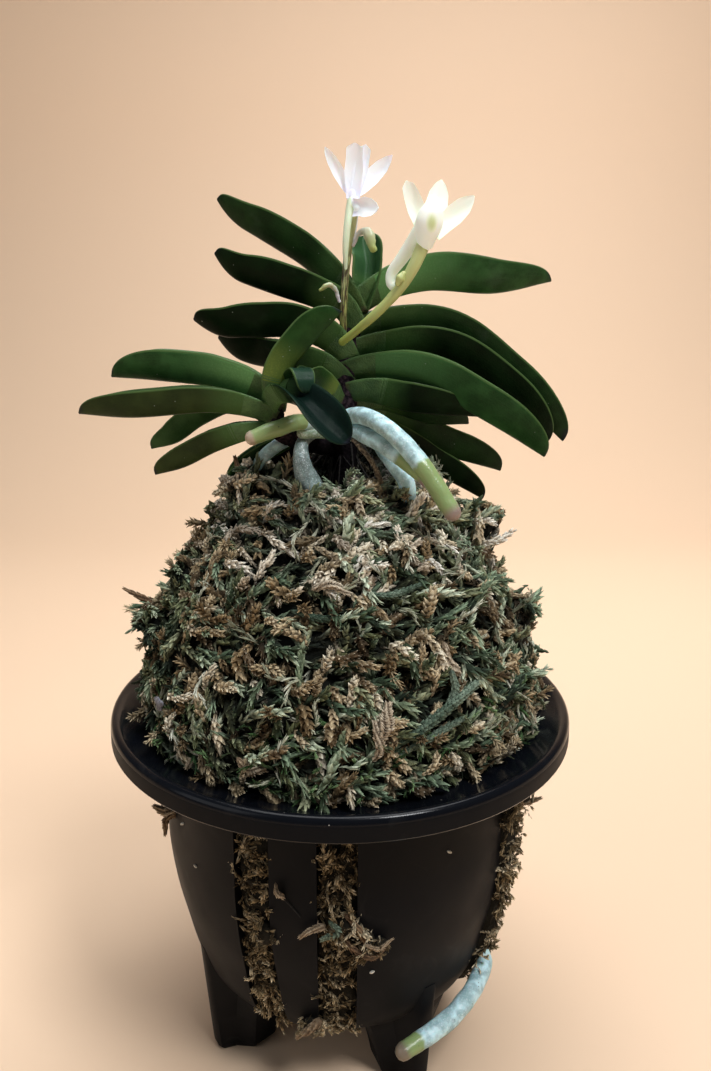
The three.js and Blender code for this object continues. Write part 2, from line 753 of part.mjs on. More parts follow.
// Room for the pot: a strand on the mound may not reach into the dish or the lip.
function dishRoom() {
  const rim = POT.lipRadius + 3;
  return turned(
    [
      [0, POT.floorDepth],
      [rim, POT.floorDepth],
      [rim, -MOSS.gap],
      [POT.lipRadius - 2, -MOSS.gap],
      [POT.lipRadius - 3.2, 0.9 - MOSS.gap],
      [POT.lipRadius - 6.5, POT.dishDepth - 0.8 - MOSS.gap],
      [POT.bowlRadius - POT.wall - MOSS.gap, POT.dishDepth - MOSS.gap],
      [0, POT.dishDepth - MOSS.gap],
    ],
    POT.sides,
  );
}

function mossSolid() {
  const shag = unite(strands()).subtract(dishRoom());
  return unite([mossCore(), shag, ...slotAngles.map((a) => turnTo(slotFill(), a)), ...slotStrands()]);
}

// ---------------------------------------------------------------- the object

const FINISH = {
  pot: { color: 0x16171b, roughness: 0.45 },
  moss: { color: 0x7d6a48, roughness: 0.95 },
  stem: { color: 0x7f9a5c, roughness: 0.6 },
  blade: { color: 0x274a26, roughness: 0.4 },
  root: { color: 0xb9c8c4, roughness: 0.45 },
  dryRoot: { color: 0x6e5c4a, roughness: 0.9 },
  streaked: { color: 0x6d6b3c, roughness: 0.5 },
  pale: { color: 0xcfd98a, roughness: 0.45 },
  white: { color: 0xf0ecf6, roughness: 0.5 },
  cream: { color: 0xf4f4e2, roughness: 0.5 },
  withered: { color: 0xb3ab86, roughness: 0.8 },
};

// Every piece with its finish. A piece is cut clear of those before it in the list that it would cross,
// so the list goes from the stem outwards and ends with the moss.
const pieces = [
  { name: "stem", finish: FINISH.stem, make: stemSolid },
  ...Object.entries(STALKS).map(([name, stalk]) => ({
    name,
    finish: stalk.bract ? FINISH.pale : FINISH.streaked,
    make: (grow) => stalkSolid(stalk, grow),
  })),
  ...Object.entries(FLOWERS).map(([name, flower]) => ({
    name,
    finish: name === "flower_white" ? FINISH.white : FINISH.cream,
    make: (grow) => flowerSolid(flower, grow),
  })),
  ...Object.entries(WITHERED).map(([name, { line, radius }]) => ({
    name,
    finish: FINISH.withered,
    make: (grow) => bar(line, radius, { grow, sides: 6, pitch: 2 }),
  })),
  ...Object.entries(ROOTS).map(([name, { line, radius }]) => ({
    name,
    finish: name === "root_dry" ? FINISH.dryRoot : FINISH.root,
    make: (grow) => bar(line, radius, { grow, sides: name === "root_dry" ? 6 : 8, pitch: 5 }),
  })),
  ...Object.entries(BLADES).map(([name, blade]) => ({
    name,
    finish: FINISH.blade,
    make: (grow) => bladeSolid(blade, grow),
  })),
  { name: "moss", finish: FINISH.moss, make: mossSolid },
];

function meshOf(name, made, { color, roughness }) {
  const { vertProperties, triVerts } = made.getMesh();
  const geometry = new THREE.BufferGeometry();
  geometry.setAttribute("position", new THREE.BufferAttribute(new Float32Array(vertProperties), 3));
  geometry.setIndex(new THREE.BufferAttribute(new Uint32Array(triVerts), 1));
  geometry.computeVertexNormals();
  const mesh = new THREE.Mesh(
    geometry,
    new THREE.MeshStandardMaterial({ color, roughness, metalness: 0, flatShading: true }),
  );
  mesh.name = name;
  return mesh;
}

const plant = new THREE.Group();
plant.add(meshOf("pot", potSolid(), FINISH.pot));
const placed = [];
for (const { name, finish, make } of pieces) {
  const whole = make(0);
  const room = placed.filter((other) => overlaps(whole, other.grown)).map((other) => other.grown);
  const clear = room.length ? whole.subtract(unite(room)) : whole;
  plant.add(meshOf(name, biggest(clear), finish));
  if (name !== "moss") placed.push({ grown: make(CUT) });
}

const orchid = new THREE.Group();
orchid.add(plant);
const box = new THREE.Box3().setFromObject(plant);
plant.position.set(-(box.min.x + box.max.x) / 2, -(box.min.y + box.max.y) / 2, POT.height);

export default orchid;
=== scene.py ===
"""A wind orchid in flower on a mound of dried sphagnum, in a black slotted pot with four legs.

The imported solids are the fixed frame. Each visible piece is a finer mesh that stands for one or more of them.
Shapes are worked out in millimetres about the pot's axis, with z = 0 at the top of the pot's lip, and are moved
into the frame's metres when their object is made.
"""

import logging
import math
from dataclasses import dataclass
from enum import Enum
from typing import ClassVar

import bpy
import numpy as np
from mathutils import Matrix, Vector, noise


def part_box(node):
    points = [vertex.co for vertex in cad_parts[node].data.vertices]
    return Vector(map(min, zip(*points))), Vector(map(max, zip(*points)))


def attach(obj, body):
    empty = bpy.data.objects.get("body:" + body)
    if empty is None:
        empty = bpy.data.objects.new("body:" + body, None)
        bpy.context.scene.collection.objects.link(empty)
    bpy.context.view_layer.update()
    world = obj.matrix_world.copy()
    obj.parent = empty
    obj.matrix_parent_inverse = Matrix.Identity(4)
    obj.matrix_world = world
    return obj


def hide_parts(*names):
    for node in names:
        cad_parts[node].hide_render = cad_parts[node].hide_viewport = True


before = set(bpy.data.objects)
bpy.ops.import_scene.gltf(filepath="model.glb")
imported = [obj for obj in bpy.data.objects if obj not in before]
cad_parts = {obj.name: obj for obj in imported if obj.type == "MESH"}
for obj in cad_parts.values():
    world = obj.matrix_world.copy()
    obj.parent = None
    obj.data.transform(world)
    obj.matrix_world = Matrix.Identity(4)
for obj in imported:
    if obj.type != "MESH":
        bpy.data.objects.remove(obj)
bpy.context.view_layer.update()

logging.basicConfig(level=logging.INFO, format="%(name)s: %(message)s")
log = logging.getLogger("orchid")

MM = 0.001
BODY = "root"
Colour = tuple[float, float, float]
Socket = bpy.types.NodeSocket
Material = bpy.types.Material
Object = bpy.types.Object
Array = np.ndarray
Number = Socket | float


# ---------------- lines, curves and shells


def pot_axis_top() -> Array:
    """The middle of the lip's top in the frame, in millimetres."""
    low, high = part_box("pot")
    return np.array([(low.x + high.x) / 2, (low.y + high.y) / 2, high.z]) / MM


ORIGIN = pot_axis_top()


def link(obj: Object) -> None:
    """Puts an object in the scene."""
    bpy.context.scene.collection.objects.link(obj)


def unit(vector: Array) -> Array:
    """The vector at length one, row by row."""
    vector = np.asarray(vector, float)
    return vector / np.maximum(np.linalg.norm(vector, axis=-1, keepdims=True), 1e-12)


def smooth_line(points: list, count: int) -> tuple[Array, Array]:
    """A smooth line through points, read off at even distances.

    Args:
        points: the points that it passes through, in millimetres.
        count: how many places are read off.

    Returns:
        The places and the line's directions there, each as (count, 3).
    """
    p = np.asarray(points, float)
    p = np.vstack([2 * p[0] - p[1], p, 2 * p[-1] - p[-2]])
    dense = []
    for i in range(1, len(p) - 2):
        p0, p1, p2, p3 = p[i - 1 : i + 3]
        d0, d1, d2 = (max(np.linalg.norm(b - a), 1e-6) ** 0.5 for a, b in ((p0, p1), (p1, p2), (p2, p3)))
        m1 = ((p1 - p0) / d0 - (p2 - p0) / (d0 + d1) + (p2 - p1) / d1) * d1
        m2 = ((p2 - p1) / d1 - (p3 - p1) / (d1 + d2) + (p3 - p2) / d2) * d1
        t = np.linspace(0, 1, 48, endpoint=i == len(p) - 3)[:, None]
        dense.append(
            (2 * t**3 - 3 * t**2 + 1) * p1
            + (t**3 - 2 * t**2 + t) * m1
            + (3 * t**2 - 2 * t**3) * p2
            + (t**3 - t**2) * m2
        )
    dense = np.vstack(dense)
    walked = np.concatenate([[0], np.cumsum(np.linalg.norm(np.diff(dense, axis=0), axis=1))])
    at = np.linspace(0, walked[-1], count)
    places = np.stack([np.interp(at, walked, dense[:, k]) for k in range(3)], axis=1)
    return places, unit(np.gradient(places, axis=0))


def line_length(points: list) -> float:
    """How long the smooth line through these points is, in millimetres."""
    places, _ = smooth_line(points, 200)
    return float(np.linalg.norm(np.diff(places, axis=0), axis=1).sum())


def read_off(pairs: list, t: Array, blur: float = 0.03) -> Array:
    """Values read off (place, value) pairs and eased at the corners.

    Args:
        pairs: places from 0 to 1 with their values.
        t: where to read.
        blur: how far a corner is eased to each side.

    Returns:
        The values at t.
    """
    x, y = zip(*pairs)
    offsets = np.linspace(-blur, blur, 9)
    t = np.atleast_1d(np.asarray(t, float))
    return np.mean([np.interp(t + o, x, y) for o in offsets], axis=0)


def across_frames(tangents: Array, start: Array) -> tuple[Array, Array]:
    """Directions square to a line that turn with it as little as they can.

    Args:
        tangents: the line's directions.
        start: a wanted first direction across the line.

    Returns:
        Two rows of directions, square to the line and to each other.
    """
    first = []
    side = np.asarray(start, float)
    for tangent in tangents:
        side = unit(side - tangent * (side @ tangent))
        first.append(side)
    first = np.array(first)
    return first, np.cross(tangents, first)


def turned(points: Array, degrees: float) -> Array:
    """The points turned about the pot's axis."""
    c, s = math.cos(math.radians(degrees)), math.sin(math.radians(degrees))
    return points @ np.array([[c, -s, 0], [s, c, 0], [0, 0, 1]]).T


def rough(points: Array, size: float, height: float, seed: float = 0.0) -> Array:
    """Smooth pseudo-random heights at points.

    Args:
        points: places in millimetres.
        size: how far apart the bumps are.
        height: how high they go to either side.
        seed: another pattern for another number.

    Returns:
        One height for each point.
    """
    shift = Vector((seed * 3.1, seed * 1.7, seed * 2.3))
    return height * np.array([noise.noise(Vector(p) / size + shift) for p in np.asarray(points).reshape(-1, 3)])


def ruffled(rings: Array, heights: Array) -> Array:
    """Rings whose points stand out from their ring's middle by their own heights."""
    out = unit(rings - rings.mean(axis=1, keepdims=True))
    return rings + out * heights.reshape(rings.shape[:2])[..., None]


class Shell:
    """Closed surfaces that become one object, with named values at their points."""

    def __init__(self) -> None:
        """Starts with no surface."""
        self.points: list[Array] = []
        self.faces: list[tuple] = []
        self.values: dict[str, list[Array]] = {}
        self.count = 0

    def add(self, points: Array, faces: list[tuple], **values: Array | float) -> None:
        """Adds one closed surface and turns it to face outwards.

        Args:
            points: (n, 3) places in millimetres.
            faces: rings of point numbers.
            values: a value for each point, or one for all of them.
        """
        points = np.asarray(points, float)
        volume = 0.0
        for face in faces:
            a = points[face[0]]
            for b, c in zip(face[1:], face[2:]):
                volume += a @ np.cross(points[b], points[c])
        if volume < 0:
            faces = [tuple(reversed(face)) for face in faces]
        self.faces += [tuple(i + self.count for i in face) for face in faces]
        self.points.append(points)
        for name in set(self.values) | set(values):
            rows = self.values.setdefault(name, [np.zeros(self.count)] if self.count else [])
            rows.append(np.broadcast_to(np.asarray(values.get(name, 0.0), float), len(points)))
        self.count += len(points)

    def add_rings(self, rings: Array, **values: Array | float) -> None:
        """Adds the closed surface through rings of points, capped at both ends.

        Args:
            rings: (rings, points in a ring, 3) places in millimetres.
            values: one value for all, or an array that spreads over (rings, points in a ring).
        """
        rows, n = rings.shape[:2]
        faces = [
            (i * n + j, i * n + (j + 1) % n, (i + 1) * n + (j + 1) % n, (i + 1) * n + j)
            for i in range(rows - 1)
            for j in range(n)
        ]
        faces.append(tuple(range(n))[::-1])
        faces.append(tuple((rows - 1) * n + j for j in range(n)))
        spread = {
            name: np.broadcast_to(np.asarray(value, float), (rows, n)).reshape(-1)
            for name, value in values.items()
        }
        self.add(rings.reshape(-1, 3), faces, **spread)

    def make(self, name: str, finish: object, sharp: float = 50.0) -> Object:
        """Makes the object, in the frame's metres.

        Args:
            name: the object's name.
            finish: what it is finished with.
            sharp: edges that turn more than this many degrees stay sharp; 0 leaves every face flat.

        Returns:
            The new object.
        """
        mesh = bpy.data.meshes.new(name)
        places = (np.vstack(self.points) + ORIGIN) * MM
        mesh.from_pydata([tuple(p) for p in places], [], self.faces)
        for label, rows in self.values.items():
            layer = mesh.attributes.new(label, "FLOAT", "POINT")
            layer.data.foreach_set("value", np.concatenate(rows).astype(np.float32))
        mesh.materials.append(finish.make())
        if sharp:
            mesh.polygons.foreach_set("use_smooth", [True] * len(mesh.polygons))
            mesh.set_sharp_from_angle(angle=math.radians(sharp))
        mesh.update()
        obj = bpy.data.objects.new(name, mesh)
        link(obj)
        return obj


def tube_rings(line: list, radii: list, count: int, sides: int, ends: float = 0.9) -> Array:
    """Rings of a round bar along a smooth line, rounded at both ends.

    Args:
        line: the points of its middle.
        radii: radii spread evenly along it.
        count: rings between the ends.
        sides: points in a ring.
        ends: how far the round ends stand out, in radii.

    Returns:
        (rings, sides, 3) places.
    """
    places, tangents = smooth_line(line, count)
    first, second = across_frames(tangents, np.array([0.31, 0.17, 0.93]))
    radius = read_off(list(zip(np.linspace(0, 1, len(radii)), radii)), np.linspace(0, 1, count), 0.08)
    angle = np.arange(sides) * 2 * math.pi / sides
    rows = []

    def ring(i: int, r: float, shift: float) -> None:
        """Adds one ring at place i, with radius r, moved along the line."""
        centre = places[i] + tangents[i] * shift
        rows.append(centre + r * (np.cos(angle)[:, None] * first[i] + np.sin(angle)[:, None] * second[i]))

    steps = [(0.12, 0.99), (0.5, 0.87), (0.85, 0.53)]
    for share, out in steps:
        ring(0, radius[0] * share, -radius[0] * ends * out)
    for i in range(count):
        ring(i, radius[i], 0.0)
    for share, out in reversed(steps):
        ring(count - 1, radius[-1] * share, radius[-1] * ends * out)
    return np.array(rows)


def tube_along(count: int) -> Array:
    """How far along a bar each of its rings lies, 0 to 1, for the rings that tube_rings makes."""
    return np.concatenate([[0, 0, 0], np.linspace(0, 1, count), [1, 1, 1]])[:, None]


def place(obj: Object, slot: str, *nodes: str) -> None:
    """Rides a piece on the body and says which nodes it stands for.

    Args:
        obj: the piece.
        slot: not used.
        nodes: the nodes that it replaces.
    """
    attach(obj, BODY)
    if nodes:
        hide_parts(*nodes)
    log.info("%s: %d faces, for %s", obj.name, len(obj.data.polygons), ", ".join(nodes) or "detail")


# ---------------- node trees


class Tree:
    """Adds nodes to a node tree, each with its inputs set or linked."""

    def __init__(self, tree: bpy.types.NodeTree) -> None:
        """Works on this tree."""
        self.tree = tree

    def node(self, kind: str, inputs: dict | None = None, **settings: object) -> bpy.types.Node:
        """Adds a node.

        Args:
            kind: the node's type.
            inputs: sockets or values by input name or number.
            settings: the node's own properties.

        Returns:
            The new node.
        """
        made = self.tree.nodes.new(kind)
        for key, value in settings.items():
            setattr(made, key, value)
        for key, value in (inputs or {}).items():
            if isinstance(value, Socket):
                self.tree.links.new(value, made.inputs[key])
            else:
                made.inputs[key].default_value = value
        return made

    def out(self, kind: str, inputs: dict | None = None, **settings: object) -> Socket:
        """Adds a node and gives its first output."""
        return self.node(kind, inputs, **settings).outputs[0]

    def calc(self, operation: str, a: Number, b: Number = 0.0) -> Socket:
        """One step of arithmetic on numbers."""
        return self.out("ShaderNodeMath", {0: a, 1: b}, operation=operation)

    def times(self, a: Number, b: Number) -> Socket:
        """One number times another."""
        return self.calc("MULTIPLY", a, b)

    def plus(self, a: Number, b: Number) -> Socket:
        """One number and another."""
        return self.calc("ADD", a, b)

    def minus(self, a: Number, b: Number) -> Socket:
        """One number less another."""
        return self.calc("SUBTRACT", a, b)

    def vector(self, operation: str, a: object, b: object = None, scale: object = None) -> Socket:
        """One step of arithmetic on vectors.

        Args:
            operation: what is done.
            a: the first vector.
            b: the second one, if any.
            scale: a number to scale by, if any.

        Returns:
            The result.
        """
        inputs = {0: a}
        if b is not None:
            inputs[1] = b
        if scale is not None:
            inputs["Scale"] = scale
        made = self.node("ShaderNodeVectorMath", inputs, operation=operation)
        return made.outputs["Value" if operation in ("LENGTH", "DOT_PRODUCT") else "Vector"]

    def span(self, value: Socket, low: float, high: float, to_low: float = 0.0, to_high: float = 1.0) -> Socket:
        """A number carried from one range to another, eased at both ends."""
        inputs = {0: value, 1: low, 2: high, 3: to_low, 4: to_high}
        return self.out("ShaderNodeMapRange", inputs, interpolation_type="SMOOTHSTEP")


class Paint(Tree):
    """The node tree of one material. A mask is a number that is 0 where a coat is off and more where it is on."""

    def __init__(self, name: str) -> None:
        """Makes the material with nothing in it.

        Args:
            name: the material's name.
        """
        self.material = bpy.data.materials.new(name)
        self.material.use_nodes = True
        super().__init__(self.material.node_tree)
        self.tree.nodes.clear()
        self.place = self.node("ShaderNodeTexCoord").outputs["Object"]

    def value(self, name: str) -> Socket:
        """A named value of the mesh."""
        return self.node("ShaderNodeAttribute", attribute_name=name).outputs["Fac"]

    def noise(self, size: float, detail: float = 2.0, vector: Socket | None = None, distortion: float = 0.0) -> Socket:
        """Soft noise whose bumps are `size` millimetres apart.

        Args:
            size: how far apart, or in units of the vector where there is one.
            detail: octaves.
            vector: coordinates other than the place.
            distortion: how far it is warped.

        Returns:
            The noise, 0 to 1.
        """
        scale = 1 / (size * MM) if vector is None else 1 / size
        spot = self.place if vector is None else vector
        inputs = {"Vector": spot, "Scale": scale, "Detail": detail, "Distortion": distortion}
        return self.node("ShaderNodeTexNoise", inputs).outputs["Fac"]

    def mask(self, value: Socket, off: float, on: float, strength: float = 1.0) -> Socket:
        """A mask that rises to its strength where a value goes from `off` to `on`."""
        return self.span(value, off, on, 0.0, strength)

    def coats(self, body: Socket | Colour, *coats: tuple) -> Socket:
        """A first colour with coats laid over it, each a mask and a colour.

        Args:
            body: the first colour.
            coats: (mask, colour) pairs.

        Returns:
            The colour of them all.
        """
        for mask, colour in coats:
            body = self.mix(mask, body, colour)
        return body

    def height(self) -> Socket:
        """The height of the place that is shaded, in metres."""
        return self.node("ShaderNodeSeparateXYZ", {0: self.place}).outputs[2]

    def off_middle(self, value: Socket, scale: float) -> Socket:
        """A noise's distance from its middle value, scaled."""
        return self.times(self.minus(value, 0.5), scale)

    def lanes(self, along: Socket, around: Socket, long: float, wide: float) -> Socket:
        """Coordinates for streaks: `long` of them from end to end and `wide` of them across."""
        return self.out("ShaderNodeCombineXYZ", {0: self.times(along, long), 1: self.times(around, wide)})

    def cells(self, size: float) -> Socket:
        """Cells `size` millimetres across, as the distance to each one's middle."""
        return self.node("ShaderNodeTexVoronoi", {"Vector": self.place, "Scale": 1 / (size * MM)}).outputs["Distance"]

    def specks(self, size: float, share: float, radius: float = 0.18) -> Socket:
        """Scattered dots: 1 in a dot and 0 outside.

        Args:
            size: how far apart they could be, in millimetres.
            share: how many of these places hold one.
            radius: a dot's radius as a share of the size.

        Returns:
            The mask.
        """
        inputs = {"Vector": self.place, "Scale": 1 / (size * MM)}
        made = self.node("ShaderNodeTexVoronoi", inputs)
        near = self.span(made.outputs["Distance"], radius, radius * 0.6)
        chosen = self.out("ShaderNodeSeparateColor", {0: made.outputs["Color"]})
        return self.times(near, self.calc("LESS_THAN", chosen, share))

    def mix(self, share: Number, a: Socket | Colour, b: Socket | Colour) -> Socket:
        """Two colours mixed, share 0 for the first and 1 for the second.

        Args:
            share: the second colour's share.
            a: the first colour.
            b: the second colour.

        Returns:
            The mixed colour.
        """
        inputs = {0: share}
        for key, colour in ((6, a), (7, b)):
            inputs[key] = colour if isinstance(colour, Socket) else (*colour, 1.0)
        return self.node("ShaderNodeMix", inputs, data_type="RGBA").outputs[2]

    def bump(self, height: Socket, depth: float, strength: float = 1.0, normal: Socket | None = None) -> Socket:
        """A bumped normal, `depth` in millimetres.

        Args:
            height: the relief, 0 to 1.
            depth: its depth.
            strength: how much of it shows.
            normal: the normal it adds to, if any.

        Returns:
            The normal.
        """
        inputs = {"Strength": strength, "Distance": depth * MM, "Height": height}
        if normal is not None:
            inputs["Normal"] = normal
        return self.out("ShaderNodeBump", inputs)

    def done(self, **inputs: object) -> Material:
        """Joins the shader to the output.

        Args:
            inputs: the shader's inputs, with _ for a blank in their names.

        Returns:
            The finished material.
        """
        named = {key.replace("_", " "): value for key, value in inputs.items()}
        self.node("ShaderNodeOutputMaterial", {"Surface": self.out("ShaderNodeBsdfPrincipled", named)})
        return self.material


# ---------------- finishes


@dataclass(frozen=True)
class LeafFinish:
    """A folded leaf's skin: satin and finely pitted, pale along the margin, and pale at the base, partly its own colour
    and partly painted light shining through.
    """

    name: str
    blade: Colour = (0.007, 0.022, 0.006)
    fresh: Colour = (0.014, 0.046, 0.011)
    base: Colour = (0.06, 0.13, 0.038)
    inner: Colour = (0.013, 0.036, 0.026)
    margin: Colour = (0.08, 0.14, 0.045)
    tip: Colour = (0.012, 0.014, 0.022)
    speck: Colour = (0.3, 0.36, 0.3)
    grime: Colour = (0.25, 0.32, 0.25)
    base_reach: float = 0.3
    dust: float = 0.1
    specular: float = 0.1

    def make(self) -> Material:
        """Builds the material.

        Returns:
            The finished material.
        """
        paint = Paint(self.name)
        along, across, inside = (paint.value(n) for n in ("along", "across", "inside"))
        veins = paint.noise(1.0, 3.0, paint.lanes(along, across, 5.0, 46.0))
        cloud = paint.noise(4.5, 3.0)
        pits = paint.cells(0.42)
        wander = paint.plus(along, paint.off_middle(cloud, 0.16))
        low = paint.plus(wander, paint.times(across, 0.05))
        body = paint.coats(
            self.blade,
            (paint.mask(cloud, 0.35, 0.7), self.fresh),
            (paint.mask(veins, 0.45, 0.75, 0.35), self.fresh),
            (paint.times(inside, 0.9), self.inner),
            # pale base: partly the blade's own colour, partly painted light shining through it
            (paint.mask(low, self.base_reach, 0.03, 0.92), self.base),
            (paint.mask(pits, 0.1, 0.6, 0.22), self.fresh),
            (paint.mask(across, 0.955, 0.99, 0.75), self.margin),
            (paint.mask(wander, 0.965, 1.01, 0.85), self.tip),
            (paint.times(paint.specks(1.3, self.dust, 0.11), 0.55), self.speck),
            (paint.mask(paint.noise(7.0, 5.0), 0.6, 0.8, 0.06), self.grime),
        )
        normal = paint.bump(pits, 0.07, 0.35)
        normal = paint.bump(veins, 0.12, 0.35, normal)
        normal = paint.bump(paint.noise(6.0, 1.0), 0.5, 0.25, normal)
        gloss = paint.span(cloud, 0.3, 0.75, 0.28, 0.4)
        return paint.done(Base_Color=body, Roughness=gloss, Normal=normal, Specular_IOR_Level=self.specular)


@dataclass(frozen=True)
class SheathFinish:
    """A sheath's skin: light green, finely hammered, dry and brown at the edge."""

    name: str = "sheath_skin"
    pale: Colour = (0.075, 0.155, 0.045)
    green: Colour = (0.026, 0.072, 0.018)
    edge: Colour = (0.06, 0.042, 0.024)

    def make(self) -> Material:
        """Builds the material.

        Returns:
            The finished material.
        """
        paint = Paint(self.name)
        along, across = paint.value("along"), paint.value("across")
        cloud = paint.noise(3.0, 3.0)
        cells = paint.cells(0.34)
        body = paint.coats(
            self.green,
            (paint.mask(cloud, 0.35, 0.7), self.pale),
            (paint.mask(cells, 0.1, 0.55, 0.35), self.pale),
            (paint.mask(along, 0.25, 0.0, 0.75), self.edge),
            (paint.mask(across, 0.94, 1.0, 0.6), self.pale),
        )
        normal = paint.bump(cells, 0.14, 0.7)
        return paint.done(Base_Color=body, Roughness=0.48, Normal=normal, Specular_IOR_Level=0.4)


@dataclass(frozen=True)
class BarkFinish:
    """The old stem between the sheaths: dark, purplish and rough, with painted shadow below the leaves."""

    name: str = "old_stem"
    dark: Colour = (0.01, 0.007, 0.01)
    light: Colour = (0.06, 0.04, 0.048)
    # painted shadow below the leaves: its colour, and the height in mm below which it starts
    leaf_shadow: Colour = (0.003, 0.0025, 0.003)
    leaf_shadow_below: float = 64.0

    def make(self) -> Material:
        """Builds the material.

        Returns:
            The finished material.
        """
        paint = Paint(self.name)
        grain = paint.noise(0.7, 4.0)
        foot = (ORIGIN[2] + self.leaf_shadow_below) * MM
        # painted shadow: the stem turns near-black below this height, where the leaves shade it
        leaf_shadow = paint.mask(paint.height(), foot, foot - 5 * MM, 0.9)
        body = paint.coats(self.dark, (paint.mask(grain, 0.4, 0.75), self.light), (leaf_shadow, self.leaf_shadow))
        normal = paint.bump(grain, 0.5, 0.9)
        return paint.done(Base_Color=body, Roughness=0.9, Specular_IOR_Level=0.04, Normal=normal)


@dataclass(frozen=True)
class RootFinish:
    """A root's silvery coat, with a green growing end and a pinkish tip."""

    name: str
    coat: Colour = (0.61, 0.88, 0.93)
    shade: Colour = (0.31, 0.48, 0.5)
    growing: Colour = (0.25, 0.345, 0.14)
    tip: Colour = (0.3, 0.19, 0.2)
    silver: Colour = (0.84, 0.95, 0.98)
    speck: Colour = (0.05, 0.06, 0.05)
    growing_from: float = 2.0
    tip_from: float = 2.0
    specks: float = 0.05

    def make(self) -> Material:
        """Builds the material.

        Returns:
            The finished material.
        """
        paint = Paint(self.name)
        along = paint.value("along")
        cloud = paint.noise(2.2, 4.0)
        fine = paint.noise(0.35, 2.0)
        edge = paint.plus(along, paint.off_middle(cloud, 0.07))
        fresh = paint.mask(edge, self.growing_from, self.growing_from + 0.03)
        body = paint.coats(
            self.shade,
            (paint.mask(cloud, 0.38, 0.68), self.coat),
            (paint.mask(fine, 0.5, 0.75, 0.5), self.silver),
            (fresh, self.growing),
            (paint.mask(along, self.tip_from, self.tip_from + 0.07), self.tip),
            (paint.times(paint.specks(0.9, self.specks, 0.2), 0.8), self.speck),
        )
        normal = paint.bump(fine, 0.12, 0.5)
        normal = paint.bump(cloud, 0.3, 0.4, normal)
        gloss = paint.span(fresh, 0.0, 1.0, 0.45, 0.28)
        return paint.done(
            Base_Color=body, Roughness=gloss, Normal=normal, Subsurface_Weight=0.12, Subsurface_Scale=0.002
        )


@dataclass(frozen=True)
class DryFinish:
    """A dry, fibrous brown thing: a dead root, a husk or a scrap."""

    name: str
    dark: Colour = (0.06, 0.04, 0.026)
    light: Colour = (0.3, 0.23, 0.15)

    def make(self) -> Material:
        """Builds the material.

        Returns:
            The finished material.
        """
        paint = Paint(self.name)
        grain = paint.noise(0.5, 4.0)
        body = paint.mix(paint.span(grain, 0.35, 0.7), self.dark, self.light)
        return paint.done(Base_Color=body, Roughness=0.85, Normal=paint.bump(grain, 0.3, 0.8))


@dataclass(frozen=True)
class StalkFinish:
    """A flower stalk: pale green, streaked with brown along its length where the streaks are on."""

    name: str
    low: Colour = (0.3, 0.35, 0.09)
    high: Colour = (0.62, 0.64, 0.33)
    streak: Colour = (0.05, 0.03, 0.014)
    streaks: float = 0.0

    def make(self) -> Material:
        """Builds the material.

        Returns:
            The finished material.
        """
        paint = Paint(self.name)
        along, around = paint.value("along"), paint.value("across")
        marks = paint.noise(1.0, 4.0, paint.lanes(along, around, 7.0, 16.0), 0.6)
        streaks = paint.times(paint.mask(marks, 0.41, 0.52, self.streaks), paint.mask(along, 0.9, 0.6))
        body = paint.coats(self.low, (along, self.high), (streaks, self.streak))
        return paint.done(
            Base_Color=body, Roughness=0.38, Subsurface_Weight=0.1, Subsurface_Scale=0.002,
            Normal=paint.bump(marks, 0.1, 0.3),
        )


@dataclass(frozen=True)
class PetalFinish:
    """A petal: velvety and a little see-through, tinted at the heart and along the middle, with a faint painted glow.
    """

    name: str
    body: Colour = (0.91, 0.945, 1.0)
    heart: Colour = (0.8, 0.77, 0.91)
    vein: Colour = (0.87, 0.89, 0.97)
    stem: Colour = (0.64, 0.72, 0.52)
    mark: Colour = (0.42, 0.3, 0.62)
    # painted glow: how much light of its own colour the petal gives off
    glow: float = 0.17

    def make(self) -> Material:
        """Builds the material.

        Returns:
            The finished material.
        """
        paint = Paint(self.name)
        along, across = paint.value("along"), paint.value("across")
        colour = paint.coats(
            self.body,
            (paint.mask(along, 0.42, 0.05, 0.8), self.heart),
            (paint.mask(across, 0.4, 0.0, 0.35), self.vein),
            (paint.value("stem"), self.stem),
            (paint.mask(paint.value("blush"), 0.0, 0.8, 0.8), self.mark),
        )
        grain = paint.noise(0.5, 3.0)
        # painted glow: the petal emits its own colour so it reads blown-out white
        return paint.done(
            Base_Color=colour, Roughness=0.5, Subsurface_Weight=0.15, Subsurface_Scale=0.002,
            Normal=paint.bump(grain, 0.06, 0.4), Emission_Color=colour, Emission_Strength=self.glow,
        )


